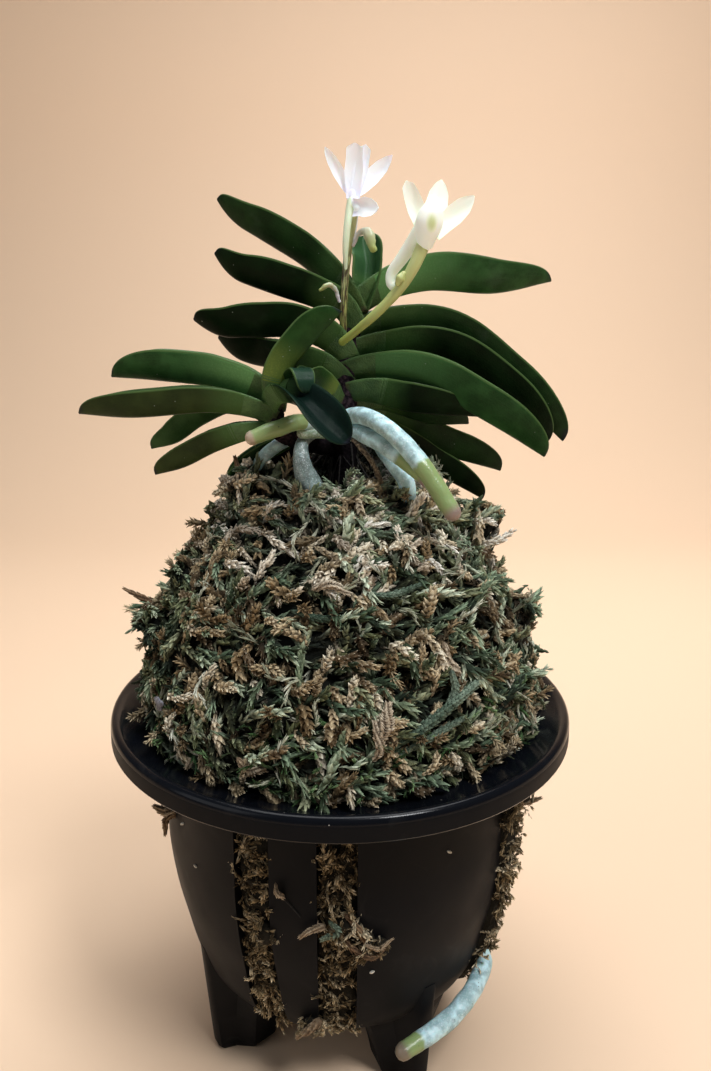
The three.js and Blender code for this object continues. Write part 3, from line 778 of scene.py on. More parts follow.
@dataclass(frozen=True)
class StrandFinish:
    """Dried moss, a tone per strand, with painted shade at leaflet roots, near the base and round the stem, and painted
    light at tips and top.
    """

    name: str
    dark: Colour
    middle: Colour
    light: Colour
    scale: float = 0.75
    # how strong the painted shade near the surface below the strands is
    shade: float = 0.92
    # the colour of the painted shade near the base and in the hollow round the stem
    painted_gap_shade: Colour = (0.0035, 0.0045, 0.0025)
    # painted light: heights in mm over which the top of the mound turns lighter
    lit_crown: tuple = (34, 50)
    # radii in mm over which the hollow round the stem takes painted shade
    hollow: tuple = (15, 10)

    def make(self) -> Material:
        """Builds the material.

        Returns:
            The finished material.
        """
        paint = Paint(self.name)
        tone, flake = paint.value("tone"), paint.value("flake")
        blotch = paint.noise(self.scale * 2, 4.0)
        patch = paint.noise(9.0, 2.0)
        mixed = paint.plus(paint.plus(tone, paint.off_middle(blotch, 1.1)), paint.off_middle(patch, 1.1))
        from_axis = paint.vector("LENGTH", paint.vector("MULTIPLY", paint.place, (1.0, 1.0, 0.0)))
        low, high = ((ORIGIN[2] + v) * MM for v in self.lit_crown)
        far, near = (v * MM for v in self.hollow)
        body = paint.coats(
            self.dark,
            (paint.mask(mixed, 0.0, 0.55), self.middle),
            (paint.mask(mixed, 0.5, 1.1), self.light),
            # painted shade at each leaflet's root and painted light at its tip
            (paint.mask(flake, 0.9, 0.35, 0.75), self.dark),
            (paint.mask(flake, 0.75, 1.0, 0.4), self.light),
            (paint.mask(paint.noise(0.45, 2.0), 0.58, 0.68, 0.6), self.dark),
            # painted light: the strands turn lighter towards the top of the mound, where light from above falls
            (paint.mask(paint.height(), low, high, 0.18), self.light),
            # painted shade: strands within a few millimetres of the surface below them darken, as if shaded by those
            # above
            (paint.mask(paint.value("depth"), 2.6, 0.5, self.shade), self.painted_gap_shade),
            # painted shade in the hollow round the stem, darker towards the axis
            (paint.mask(from_axis, far, near, 0.8), self.painted_gap_shade),
        )
        normal = paint.bump(paint.noise(0.3, 2.0), 0.25, 0.7)
        return paint.done(Base_Color=body, Roughness=0.85, Normal=normal, Specular_IOR_Level=0.25)


@dataclass(frozen=True)
class PotFinish:
    """Moulded black plastic, matt or glossy, with a little dust."""

    name: str
    body: Colour = (0.0038, 0.0044, 0.0058)
    rough: tuple = (0.42, 0.54)
    specular: float = 0.25
    dust: float = 0.03
    smear: Colour = (0.3, 0.29, 0.27)
    speck: Colour = (0.5, 0.48, 0.43)

    def make(self) -> Material:
        """Builds the material.

        Returns:
            The finished material.
        """
        paint = Paint(self.name)
        cloud = paint.noise(14.0, 4.0)
        fine = paint.noise(0.22, 2.0)
        smear = paint.mask(paint.noise(9.0, 6.0, distortion=1.2), 0.58, 0.8, 0.03)
        specks = paint.times(paint.specks(2.6, self.dust, 0.05), 0.7)
        colour = paint.coats(self.body, (smear, self.smear), (specks, self.speck))
        sheen = paint.span(cloud, 0.3, 0.7, *self.rough)
        normal = paint.bump(fine, 0.03, 0.35)
        return paint.done(Base_Color=colour, Roughness=sheen, Normal=normal, Specular_IOR_Level=self.specular, IOR=1.25)


@dataclass(frozen=True)
class StudioFinish:
    """Plain pale paper for the floor and the backdrop."""

    name: str = "studio_paper"
    colour: Colour = (0.7, 0.515, 0.358)

    def make(self) -> Material:
        """Builds the material."""
        paint, colour = Paint(self.name), (*self.colour, 1.0)
        return paint.done(Base_Color=colour, Roughness=0.62, Normal=paint.bump(paint.noise(1.5, 3.0), 0.05, 0.2))


# ---------------- pot


@dataclass(frozen=True)
class Pot:
    """The moulded pot: a dished lip with a skirt, a bowl with eight slots, and four wedge legs."""

    lip: tuple = (
        (38.8, 3.2), (41.5, 3.12), (44.4, 2.8), (46.8, 2.15), (48.6, 1.35), (49.8, 0.66), (50.5, 0.22),
        (51.0, 0.04), (51.45, 0.08), (51.9, 0.35), (52.2, 0.85), (52.36, 1.5),
    )
    skirt: tuple = ((52.4, 2.2), (52.42, 3.4), (52.44, 4.66))
    under: tuple = ((52.26, 4.94), (51.9, 5.0), (50.6, 4.95), (49.9, 4.3), (47.5, 4.45), (43.4, 5.2), (41.6, 6.0))
    bowl: tuple = (
        (41, 7.4), (41, 20), (41, 30), (39.9, 40), (38, 49), (36.1, 57), (34.4, 61.4), (32, 64.6), (28.5, 66), (23, 66),
    )
    wall: float = 2.2
    drain: float = 7.0
    slot_half: float = 4.0
    slot_top: float = 9.5
    slot_inner: float = 23.0
    pair: tuple = (-26.0, -1.0)
    repeats: int = 4
    leg_angle: float = 31.5
    leg_top: float = 54.0
    leg_width: tuple = (32.5, 11.4)
    leg_outer: tuple = (37.0, 34.5)
    leg_inner: tuple = (20.0, 20.5)
    height: float = 82.99
    columns: tuple = (6, 44, 17)

    def edges(self, radius: float) -> Array:
        """The angles of the grid's columns at a radius, in radians from the front towards +X.

        Args:
            radius: in millimetres.

        Returns:
            One angle for each column.
        """
        half = math.asin(min(self.slot_half / max(radius, self.slot_inner), 1))
        first, second = (math.radians(a) for a in self.pair)
        turn = 2 * math.pi / self.repeats
        in_slot, wide, narrow = self.columns
        row = []
        for k in range(self.repeats):
            a, b = first + k * turn, second + k * turn
            for low, high, n in (
                (a - half, a + half, in_slot),
                (a + half, b - half, narrow),
                (b - half, b + half, in_slot),
                (b + half, a + turn - half, wide),
            ):
                row.append(np.linspace(low, high, n, endpoint=False))
        return np.concatenate(row)

    def is_slot(self) -> Array:
        """Which columns of faces lie in a slot."""
        in_slot, wide, narrow = self.columns
        return np.array(([True] * in_slot + [False] * narrow + [True] * in_slot + [False] * wide) * self.repeats)

    def rows(self) -> tuple[list, list, list]:
        """The rings of the closed section, with which lie in the slots' reach and how glossy each is.

        Returns:
            (radius, depth) rings, (outer, inner) ring numbers of the slots' reach, and each ring's gloss.
        """
        spaced, _ = smooth_line([(r, d, 0) for r, d in self.bowl], 40)
        outer = [(r, d) for r, d, _ in spaced]
        top = next(i for i, (_, d) in enumerate(outer) if d > self.slot_top)
        outer[top] = (outer[top][0], self.slot_top)
        inner = []
        for i, (r, d) in enumerate(outer):
            before, after = outer[max(i - 1, 0)], outer[min(i + 1, len(outer) - 1)]
            run = np.array(after) - np.array(before)
            normal = np.array([-run[1], run[0]]) / np.hypot(*run)
            if i >= len(outer) - 2:
                normal = np.array([0.0, -1.0])
            inner.append((r + normal[0] * self.wall, d + normal[1] * self.wall))
        inner[top] = (inner[top][0], self.slot_top)
        floor = self.bowl[-1][1]
        drain = [(self.drain, floor), (self.drain, floor - self.wall)]
        loop = [*self.lip, *self.skirt, *self.under, *outer, *drain, *inner[::-1]]
        first = len(self.lip) + len(self.skirt) + len(self.under)
        reach = [first + i for i in range(top, len(outer))]
        mirror = [first + len(outer) + 2 + (len(outer) - 1 - i) for i in range(top, len(outer))]
        gloss = [1.0] * len(self.lip) + [0.0] * (len(self.skirt) - 1) + [1.0, 1.0]
        return loop, list(zip(reach, mirror)), gloss + [0.0] * (len(loop) - len(gloss))

    def shell(self, shell: Shell) -> None:
        """Adds the lip and the slotted bowl as one closed surface.

        Args:
            shell: what they are added to.
        """
        loop, pairs, gloss = self.rows()
        slot_column = self.is_slot()
        n = len(slot_column)
        points = []
        for r, d in loop:
            angle = self.edges(r)
            points.append(np.stack([r * np.sin(angle), -r * np.cos(angle), np.full(n, -d)], axis=1))
        open_rows = {a for a, _ in pairs[:-1]} | {b for _, b in pairs[1:]}
        faces = []
        for i in range(len(loop)):
            k = (i + 1) % len(loop)
            for j in range(n):
                if i in open_rows and slot_column[j]:
                    continue
                m = (j + 1) % n
                faces.append((i * n + j, k * n + j, k * n + m, i * n + m))
        for j in range(n):
            m = (j + 1) % n
            if slot_column[j]:
                (a, b), (c, d) = pairs[0], pairs[-1]
                faces.append((a * n + j, b * n + j, b * n + m, a * n + m))
                faces.append((d * n + j, c * n + j, c * n + m, d * n + m))
            if slot_column[j] != slot_column[j - 1]:
                for (a, b), (c, d) in zip(pairs, pairs[1:]):
                    wall = (a * n + j, c * n + j, d * n + j, b * n + j)
                    faces.append(wall if slot_column[j] else wall[::-1])
        shell.add(np.vstack(points), faces, gloss=np.repeat(gloss, n))

    def leg(self, angle: float) -> Array:
        """One leg's rings: a ridge outside, scooped sides and a small rounded foot.

        Args:
            angle: degrees from the front towards +X.

        Returns:
            (rings, points in a ring, 3) places.
        """
        (root, foot), (out_top, out_foot), (in_top, in_foot) = self.leg_width, self.leg_outer, self.leg_inner
        rows = []
        for t in np.concatenate([np.linspace(0, 0.93, 16), [0.965, 0.988, 0.998, 1.0]]):
            half = (foot + (root - foot) * (1 - t) ** 1.3) / 2
            outer = out_top + (out_foot - out_top) * t
            inner = in_top + (in_foot - in_top) * t
            shoulder = (outer - 3) + ((inner + 3) - (outer - 3)) * (0.35 + 0.2 * t)
            z = -(self.leg_top + (self.height - self.leg_top) * t)
            dip = 0.16 * half * (1 - t) ** 0.6
            side = [
                (outer, 1.2), (outer - 0.5, 2.0),
                (outer + (shoulder - outer) * 0.5 - dip, half * 0.5 - dip * 0.2),
                (shoulder + 0.9, half - 0.7), (shoulder, half), (shoulder - 0.9, half - 0.25),
                (inner + 0.8, half * 0.8), (inner, half * 0.8 - 0.8),
            ]
            ring = np.array([(s, -r) for r, s in side] + [(-s, -r) for r, s in side[::-1]])
            middle = ring.mean(axis=0)
            shrink = 1 - 0.13 * max(0.0, (t - 0.95) / 0.05) ** 2
            ring = middle + (ring - middle) * shrink
            rows.append(np.column_stack([ring, np.full(len(ring), z)]))
        return turned(np.array(rows), angle)

    def build(self) -> None:
        """Makes the pot and dresses it."""
        shell = Shell()
        self.shell(shell)
        for k in range(self.repeats):
            shell.add_rings(self.leg(self.leg_angle + 360 / self.repeats * k), gloss=0.15)
        pot = shell.make("pot_moulding", PotFinish("pot_wall"), sharp=32)
        shine = PotFinish("pot_lip", (0.0035, 0.0042, 0.0062), (0.12, 0.2), 0.55, 0.12)
        pot.data.materials.append(shine.make())
        values = np.zeros(len(pot.data.vertices), np.float32)
        pot.data.attributes["gloss"].data.foreach_get("value", values)
        for face in pot.data.polygons:
            face.material_index = int(min(values[i] for i in face.vertices) > 0.4)
        place(pot, "pot", "pot")


# ---------------- moss


@dataclass(frozen=True)
class Scale:
    """One whorl of a strand's leaflets: a bud with a pointed rim, drawn at unit length and radius."""

    leaflets: int = 4
    belly: float = 0.84
    flare: float = 0.97

    def points(self) -> tuple[Array, list[tuple], Array]:
        """The bud's points, its faces, and how near each point is to a leaflet's tip.

        Returns:
            The three of them.
        """
        n = self.leaflets * 2
        angle = np.arange(n) * 2 * math.pi / n
        middle = np.arange(n) % 2 == 0
        wide = self.belly * np.where(middle, 1.0, 0.93)
        belly = np.stack([wide * np.cos(angle), wide * np.sin(angle), np.where(middle, 0.35, 0.5)], 1)
        tips = np.stack([self.flare * np.cos(angle[::2]), self.flare * np.sin(angle[::2]), np.ones(self.leaflets)], 1)
        points = np.vstack([[0, 0, -0.1], belly, tips, [0, 0, 0.55]])
        top = len(points) - 1
        faces = [(0, 1 + (i + 1) % n, 1 + i) for i in range(n)]
        for j in range(self.leaflets):
            before, own, after, tip = 1 + (2 * j - 1) % n, 1 + 2 * j, 1 + (2 * j + 1) % n, 1 + n + j
            faces += [(before, own, tip), (own, after, tip), (tip, after, top), (before, tip, top)]
        flake = np.concatenate([[0.0], np.where(middle, 0.55, 0.45), np.ones(self.leaflets), [0.2]])
        return points, faces, flake

    def chain(self, shell: Shell, line: list, girths: list, count: int, tone: float, seed: float = 0.0) -> None:
        """Adds a strand of these whorls along a line.

        Args:
            shell: what it is added to.
            line: the points that it runs through.
            girths: radii spread evenly along it.
            count: how many whorls.
            tone: its place between dark 0 and light 1.
            seed: turns the whorls another way for another number.
        """
        places, ahead = smooth_line(line, count)
        first, second = across_frames(ahead, np.array([0.2, 0.4, 0.9]))
        girth = np.interp(np.linspace(0, 1, count), np.linspace(0, 1, len(girths)), girths)
        step = line_length(line) / count * 3.2
        unit_points, faces, flake = self.points()
        for i in range(count):
            spin = seed + i * 2.4
            c, s = math.cos(spin), math.sin(spin)
            wobble = 1 + 0.25 * math.sin(seed * 3 + i * 1.7)
            a, b = first[i] * c + second[i] * s, second[i] * c - first[i] * s
            points = (
                places[i]
                + unit_points[:, :1] * a * girth[i] * wobble
                + unit_points[:, 1:2] * b * girth[i]
                + unit_points[:, 2:] * ahead[i] * step
            )
            # depth 2.0 leaves these strands only faint painted shade from their finish
            shell.add(points, faces, flake=flake, tone=tone, along=i / max(count - 1, 1), depth=2.0)

    def model(self) -> Object:
        """The whorl as an object for Geometry Nodes to repeat.

        Returns:
            The object, outside the scene.
        """
        points, faces, flake = self.points()
        mesh = bpy.data.meshes.new("whorl")
        mesh.from_pydata([tuple(p) for p in points], [], faces)
        mesh.attributes.new("flake", "FLOAT", "POINT").data.foreach_set("value", flake.astype(np.float32))
        return bpy.data.objects.new("whorl", mesh)


class Twine(Enum):
    """How the strands of a layer lie: how far they yaw from level and how far an end may rise, in radians."""

    WOUND = (0.75, 0.22)
    MIXED = (1.5, 0.34)
    LOOSE = (3.1, 0.42)
    STANDING = (3.1, 0.75)


@dataclass(frozen=True)
class StrandLayer:
    """One kind of strand spread over a surface by Geometry Nodes. Lengths are in millimetres."""

    name: str
    finish: StrandFinish
    density: float
    length: tuple
    girth: tuple
    seed: int
    twine: Twine
    scale: Scale
    whorls: int
    bend: float
    arch: float
    sink: tuple
    bend_size: float = 5.0
    overlap: float = 2.8
    taper: float = 2.8
    ragged: float = 0.16
    low: float = -90.0
    high: float = 90.0
    outward: bool = False
    sockets: ClassVar[tuple] = (
        ("Geometry", "Geometry"), ("Density", "Float"), ("Bend", "Float"), ("Arch", "Float"), ("Seed", "Int"),
        ("Whorl", "Object"), ("Finish", "Material"),
    )

    def group(self) -> bpy.types.GeometryNodeTree:
        """Builds the node tree: points on the surface, bent lines on the points, whorls along the lines.

        Returns:
            The tree.
        """
        group = bpy.data.node_groups.new(self.name, "GeometryNodeTree")
        for label, kind in self.sockets:
            group.interface.new_socket(label, in_out="INPUT", socket_type=f"NodeSocket{kind}")
        group.interface.new_socket("Geometry", in_out="OUTPUT", socket_type="NodeSocketGeometry")
        t = Tree(group)
        given = t.node("NodeGroupInput").outputs
        density, bend, arch, seed, whorl, finish = (given[label] for label, _ in self.sockets[1:])

        def chance(low: object, high: object, number: int, own: Socket | None = None) -> Socket:
            """A random number, or a vector where the ends are vectors, for each point.

            Args:
                low: the lowest value.
                high: the highest value.
                number: its own number among the draws.
                own: another index than the point's own.

            Returns:
                The value.
            """
            vector = isinstance(low, tuple)
            base = 0 if vector else 2
            inputs = {base: low, base + 1: high, "Seed": t.plus(seed, float(number))}
            if own is not None:
                inputs["ID"] = own
            made = t.node("FunctionNodeRandomValue", inputs, data_type="FLOAT_VECTOR" if vector else "FLOAT")
            return made.outputs[0 if vector else 1]

        def keep(geometry: Socket, name: str, value: Socket, kind: str = "FLOAT") -> Socket:
            """Stores a named value on the points of a geometry."""
            inputs = {"Geometry": geometry, "Name": name, "Value": value}
            return t.out("GeometryNodeStoreNamedAttribute", inputs, data_type=kind, domain="POINT")

        def named(name: str, kind: str = "FLOAT") -> Socket:
            """Reads a stored value."""
            return t.node("GeometryNodeInputNamedAttribute", {"Name": name}, data_type=kind).outputs["Attribute"]

        def is_more(a: Number, b: Number) -> Socket:
            """Whether one number is greater than another."""
            return t.out("FunctionNodeCompare", {0: a, 1: b}, operation="GREATER_THAN")

        def both(a: Socket, b: Socket) -> Socket:
            """Whether two things hold together."""
            return t.out("FunctionNodeBooleanMath", {0: a, 1: b})

        def spun(rotation: Socket, by: Socket) -> Socket:
            """A rotation with another turn in its own axes, in radians."""
            inputs = {"Rotation": rotation, "Rotate By": t.out("FunctionNodeEulerToRotation", {0: by})}
            return t.out("FunctionNodeRotateRotation", inputs, rotation_space="LOCAL")

        def planted(points: Socket, copy: Socket, rotation: Socket, scale: Socket) -> Socket:
            """Real copies of a geometry on points, each turned and scaled."""
            inputs = {"Points": points, "Instance": copy, "Rotation": rotation, "Scale": scale}
            return t.out("GeometryNodeRealizeInstances", {0: t.out("GeometryNodeInstanceOnPoints", inputs)})

        def moved(geometry: Socket, by: Socket) -> Socket:
            """A geometry whose points are moved."""
            return t.out("GeometryNodeSetPosition", {"Geometry": geometry, "Offset": by})

        def shake(spot: Socket, scale: float, by: Number) -> Socket:
            """A smooth pseudo-random push for each place."""
            made = t.node("ShaderNodeTexNoise", {"Vector": spot, "Scale": scale, "Detail": 1.0}).outputs["Color"]
            return t.vector("SCALE", t.vector("SUBTRACT", made, (0.5, 0.5, 0.5)), scale=by)

        def from_middle(share: Socket) -> Socket:
            """A share from 0 to 1 carried to -1 to 1."""
            return t.minus(t.times(share, 2.0), 1.0)

        where = t.out("GeometryNodeInputPosition")
        height = t.node("ShaderNodeSeparateXYZ", {0: where}).outputs[2]
        low, high = ((ORIGIN[2] + v) * MM for v in (self.low, self.high))
        chosen = both(is_more(height, low), is_more(high, height))
        if self.outward:
            radial = t.vector("NORMALIZE", t.vector("MULTIPLY", where, (1.0, 1.0, 0.0)))
            facing = t.vector("DOT_PRODUCT", t.out("GeometryNodeInputNormal"), radial)
            chosen = both(chosen, is_more(facing, 0.3))
        spread = t.node(
            "GeometryNodeDistributePointsOnFaces",
            {"Mesh": given["Geometry"], "Selection": chosen, "Density": density, "Seed": seed},
        )
        points, normal = spread.outputs["Points"], spread.outputs["Normal"]
        points = keep(points, "tone", chance(0.0, 1.0, 1))
        points = keep(points, "girth", chance(*(g * MM for g in self.girth), 2))
        points = keep(points, "size", chance(*(v * MM for v in self.length), 4))
        points = keep(points, "out", normal, "FLOAT_VECTOR")
        points = moved(points, t.vector("SCALE", normal, scale=chance(*(v * MM for v in self.sink), 5)))
        outwards = named("out", "FLOAT_VECTOR")
        level = t.vector("CROSS_PRODUCT", (0.0, 0.0, 1.0), outwards)
        laid_flat = t.out(
            "FunctionNodeAxesToRotation", {"Primary Axis": outwards, "Secondary Axis": level},
            primary_axis="Z", secondary_axis="X",
        )
        yaw, rise = self.twine.value
        pose = spun(laid_flat, chance((-0.4, -rise * 1.6, -yaw), (0.4, rise * 0.5, yaw), 3))
        start = -0.12 if self.twine is Twine.STANDING else -0.5
        line = t.out("GeometryNodeCurvePrimitiveLine", {"Start": (start, 0, 0), "End": (start + 1, 0, 0)})
        line = t.out("GeometryNodeResampleCurve", {"Curve": line, "Count": 9})
        laid = planted(points, line, pose, named("size"))

        along = t.node("GeometryNodeSplineParameter").outputs["Factor"]
        laid = keep(laid, "along", along)
        away = from_middle(along)
        hump = t.minus(0.3, t.times(away, away))
        own = t.out("ShaderNodeCombineXYZ", {0: t.times(named("tone"), 41.0), 1: t.times(named("girth"), 60000.0)})
        spot = t.vector("ADD", t.vector("SCALE", where, scale=1 / (self.bend_size * MM)), own)
        push = t.vector("SCALE", outwards, scale=t.times(hump, arch))
        laid = moved(laid, t.vector("ADD", shake(spot, 1.0, bend), push))

        beads = t.node("GeometryNodeCurveToPoints", {"Curve": laid, "Count": self.whorls}, mode="COUNT")
        index = t.out("GeometryNodeInputIndex")
        spin = chance((-0.25, -0.25, -3.1), (0.25, 0.25, 3.1), 6, index)
        belly = t.minus(1.0, t.calc("POWER", t.calc("ABSOLUTE", from_middle(named("along"))), self.taper))
        wide = t.times(named("girth"), t.plus(t.times(belly, 0.7), 0.36))
        wide = t.times(wide, chance(0.85, 1.2, 7, index))
        reach = t.times(t.times(named("size"), self.overlap / self.whorls), t.plus(t.times(belly, 0.45), 0.6))
        size = t.out("ShaderNodeCombineXYZ", {0: wide, 1: wide, 2: reach})
        whorl = t.node("GeometryNodeObjectInfo", {"Object": whorl}).outputs["Geometry"]
        grown = planted(beads.outputs["Points"], whorl, spun(beads.outputs["Rotation"], spin), size)
        grown = moved(grown, shake(where, 1 / (0.8 * MM), self.ragged * 2 * MM))
        # the distance to the base is kept as depth, which the finish turns into painted shade where it is small
        near = t.node("GeometryNodeProximity", {0: given["Geometry"]}).outputs["Distance"]
        grown = keep(grown, "depth", t.times(near, 1000.0))
        grown = t.out("GeometryNodeSetShadeSmooth", {"Geometry": grown, "Shade Smooth": False})
        grown = t.out("GeometryNodeSetMaterial", {"Geometry": grown, "Material": finish})
        t.node("NodeGroupOutput", {0: grown})
        return group

    def grow(self, base: Object) -> Object:
        """Grows the strands on a base's surface.

        Args:
            base: the object that they cover.

        Returns:
            The strands as one plain mesh object.
        """
        group = self.group()
        host = bpy.data.objects.new(self.name, base.data.copy())
        link(host)
        whorl = self.scale.model()
        modifier = host.modifiers.new("strands", "NODES")
        modifier.node_group = group
        given = {
            "Density": self.density * 1e4, "Bend": self.bend * MM, "Arch": self.arch * MM,
            "Seed": self.seed, "Whorl": whorl, "Finish": self.finish.make(),
        }
        for item in group.interface.items_tree:
            if item.item_type == "SOCKET" and item.in_out == "INPUT" and item.name in given:
                modifier[item.identifier] = given[item.name]
        graph = bpy.context.evaluated_depsgraph_get()
        grown = host.evaluated_get(graph)
        mesh = bpy.data.meshes.new_from_object(grown, preserve_all_data_layers=True, depsgraph=graph)
        host.modifiers.clear()
        host.data = mesh
        bpy.data.objects.remove(whorl)
        return host


# DEEP_MOSS, for the lowest strands, is dark: partly their own dark green, partly painted shade deep in the pile
DEEP_MOSS = StrandFinish("strand_deep", (0.009, 0.016, 0.008), (0.085, 0.138, 0.078), (0.35, 0.46, 0.3))
OLIVE_MOSS = StrandFinish("strand_olive", (0.014, 0.017, 0.006), (0.135, 0.158, 0.073), (0.46, 0.49, 0.3))
SAGE_MOSS = StrandFinish("strand_sage", (0.022, 0.036, 0.016), (0.255, 0.33, 0.2), (0.76, 0.84, 0.63))
BROWN_MOSS = StrandFinish("strand_brown", (0.036, 0.023, 0.01), (0.295, 0.205, 0.102), (0.74, 0.61, 0.39))
TAN_MOSS = StrandFinish("strand_tan", (0.095, 0.064, 0.034), (0.6, 0.475, 0.285), (0.99, 0.92, 0.73))
LIT_STRAW_MOSS = StrandFinish("strand_straw", (0.18, 0.13, 0.08), (0.9, 0.77, 0.57), (1.0, 0.99, 0.9))
PALE_MOSS = StrandFinish("strand_pale", (0.16, 0.17, 0.11), (0.46, 0.47, 0.33), (0.76, 0.76, 0.64))
GREEN_MOSS = StrandFinish("strand_green", (0.012, 0.034, 0.009), (0.07, 0.155, 0.05), (0.28, 0.42, 0.19))
THIN, CORD, FULL, STAR = Scale(3, 0.84, 0.9), Scale(3, 0.88, 0.98), Scale(4, 0.88, 0.98), Scale(5, 0.6, 1.4)

# The strands that cover the mound, from the skin outwards.
LAYERS = (
    StrandLayer(
        "moss_deep", DEEP_MOSS, 4.0, (9, 16), (0.64, 1.0), 11, Twine.WOUND, CORD, 12,
        bend=3.4, bend_size=6.0, arch=1.0, sink=(-0.5, 0.7), overlap=3.0,
    ),
    StrandLayer(
        "moss_olive", OLIVE_MOSS, 3.5, (8, 14), (0.58, 1.0), 21, Twine.MIXED, CORD, 13,
        bend=3.8, arch=1.1, sink=(-0.4, 1.0), overlap=3.0,
    ),
    StrandLayer(
        "moss_sage", SAGE_MOSS, 3.55, (8, 15), (0.54, 0.96), 12, Twine.MIXED, CORD, 13,
        bend=4.2, arch=1.3, sink=(0.0, 1.5), overlap=3.0,
    ),
    StrandLayer(
        "moss_brown", BROWN_MOSS, 2.65, (5.5, 10), (0.62, 1.1), 13, Twine.LOOSE, FULL, 13,
        bend=3.0, arch=1.4, sink=(0.4, 1.8),
    ),
    StrandLayer(
        "moss_tan", TAN_MOSS, 2.65, (5.5, 9.5), (0.68, 1.14), 14, Twine.MIXED, FULL, 13,
        bend=3.0, arch=1.2, sink=(0.8, 2.2),
    ),
    # pale straw strands on the top only, above 33 mm: painted light from above on the crown
    StrandLayer(
        "moss_crown", LIT_STRAW_MOSS, 4.4, (6, 10), (0.6, 1.0), 19, Twine.MIXED, FULL, 13,
        bend=3.4, arch=1.2, sink=(0.8, 2.2), low=33,
    ),
    StrandLayer(
        "moss_ends", BROWN_MOSS, 1.0, (4, 7), (0.6, 1.0), 15, Twine.STANDING, STAR, 7,
        bend=2.6, bend_size=7.0, arch=0.3, sink=(0.3, 1.0), overlap=2.6, ragged=0.25,
    ),
    StrandLayer(
        "moss_curls", PALE_MOSS, 1.2, (8, 15), (0.24, 0.42), 18, Twine.LOOSE, THIN, 14,
        bend=7.0, bend_size=3.6, arch=1.6, sink=(0.8, 2.0), ragged=0.1,
    ),
    StrandLayer(
        "moss_green", GREEN_MOSS, 9, (4, 8), (0.22, 0.42), 16, Twine.LOOSE, THIN, 8,
        bend=4.0, bend_size=3.0, arch=0.6, sink=(0.4, 1.6), overlap=2.4, high=12,
    ),
)


def ball_rings(centre: tuple, reach: tuple) -> Array:
    """Rings of a ball.

    Args:
        centre: its middle, in millimetres.
        reach: its half widths.

    Returns:
        (9, 14, 3) places.
    """
    high = np.linspace(-0.97, 0.97, 9)[:, None, None]
    turn = np.arange(14)[None, :, None] * math.pi / 7
    flat = np.sqrt(1 - high ** 2)
    ball = np.concatenate([flat * np.cos(turn), flat * np.sin(turn), np.broadcast_to(high, (9, 14, 1))], axis=2)
    return ball * np.array(reach) + np.array(centre)


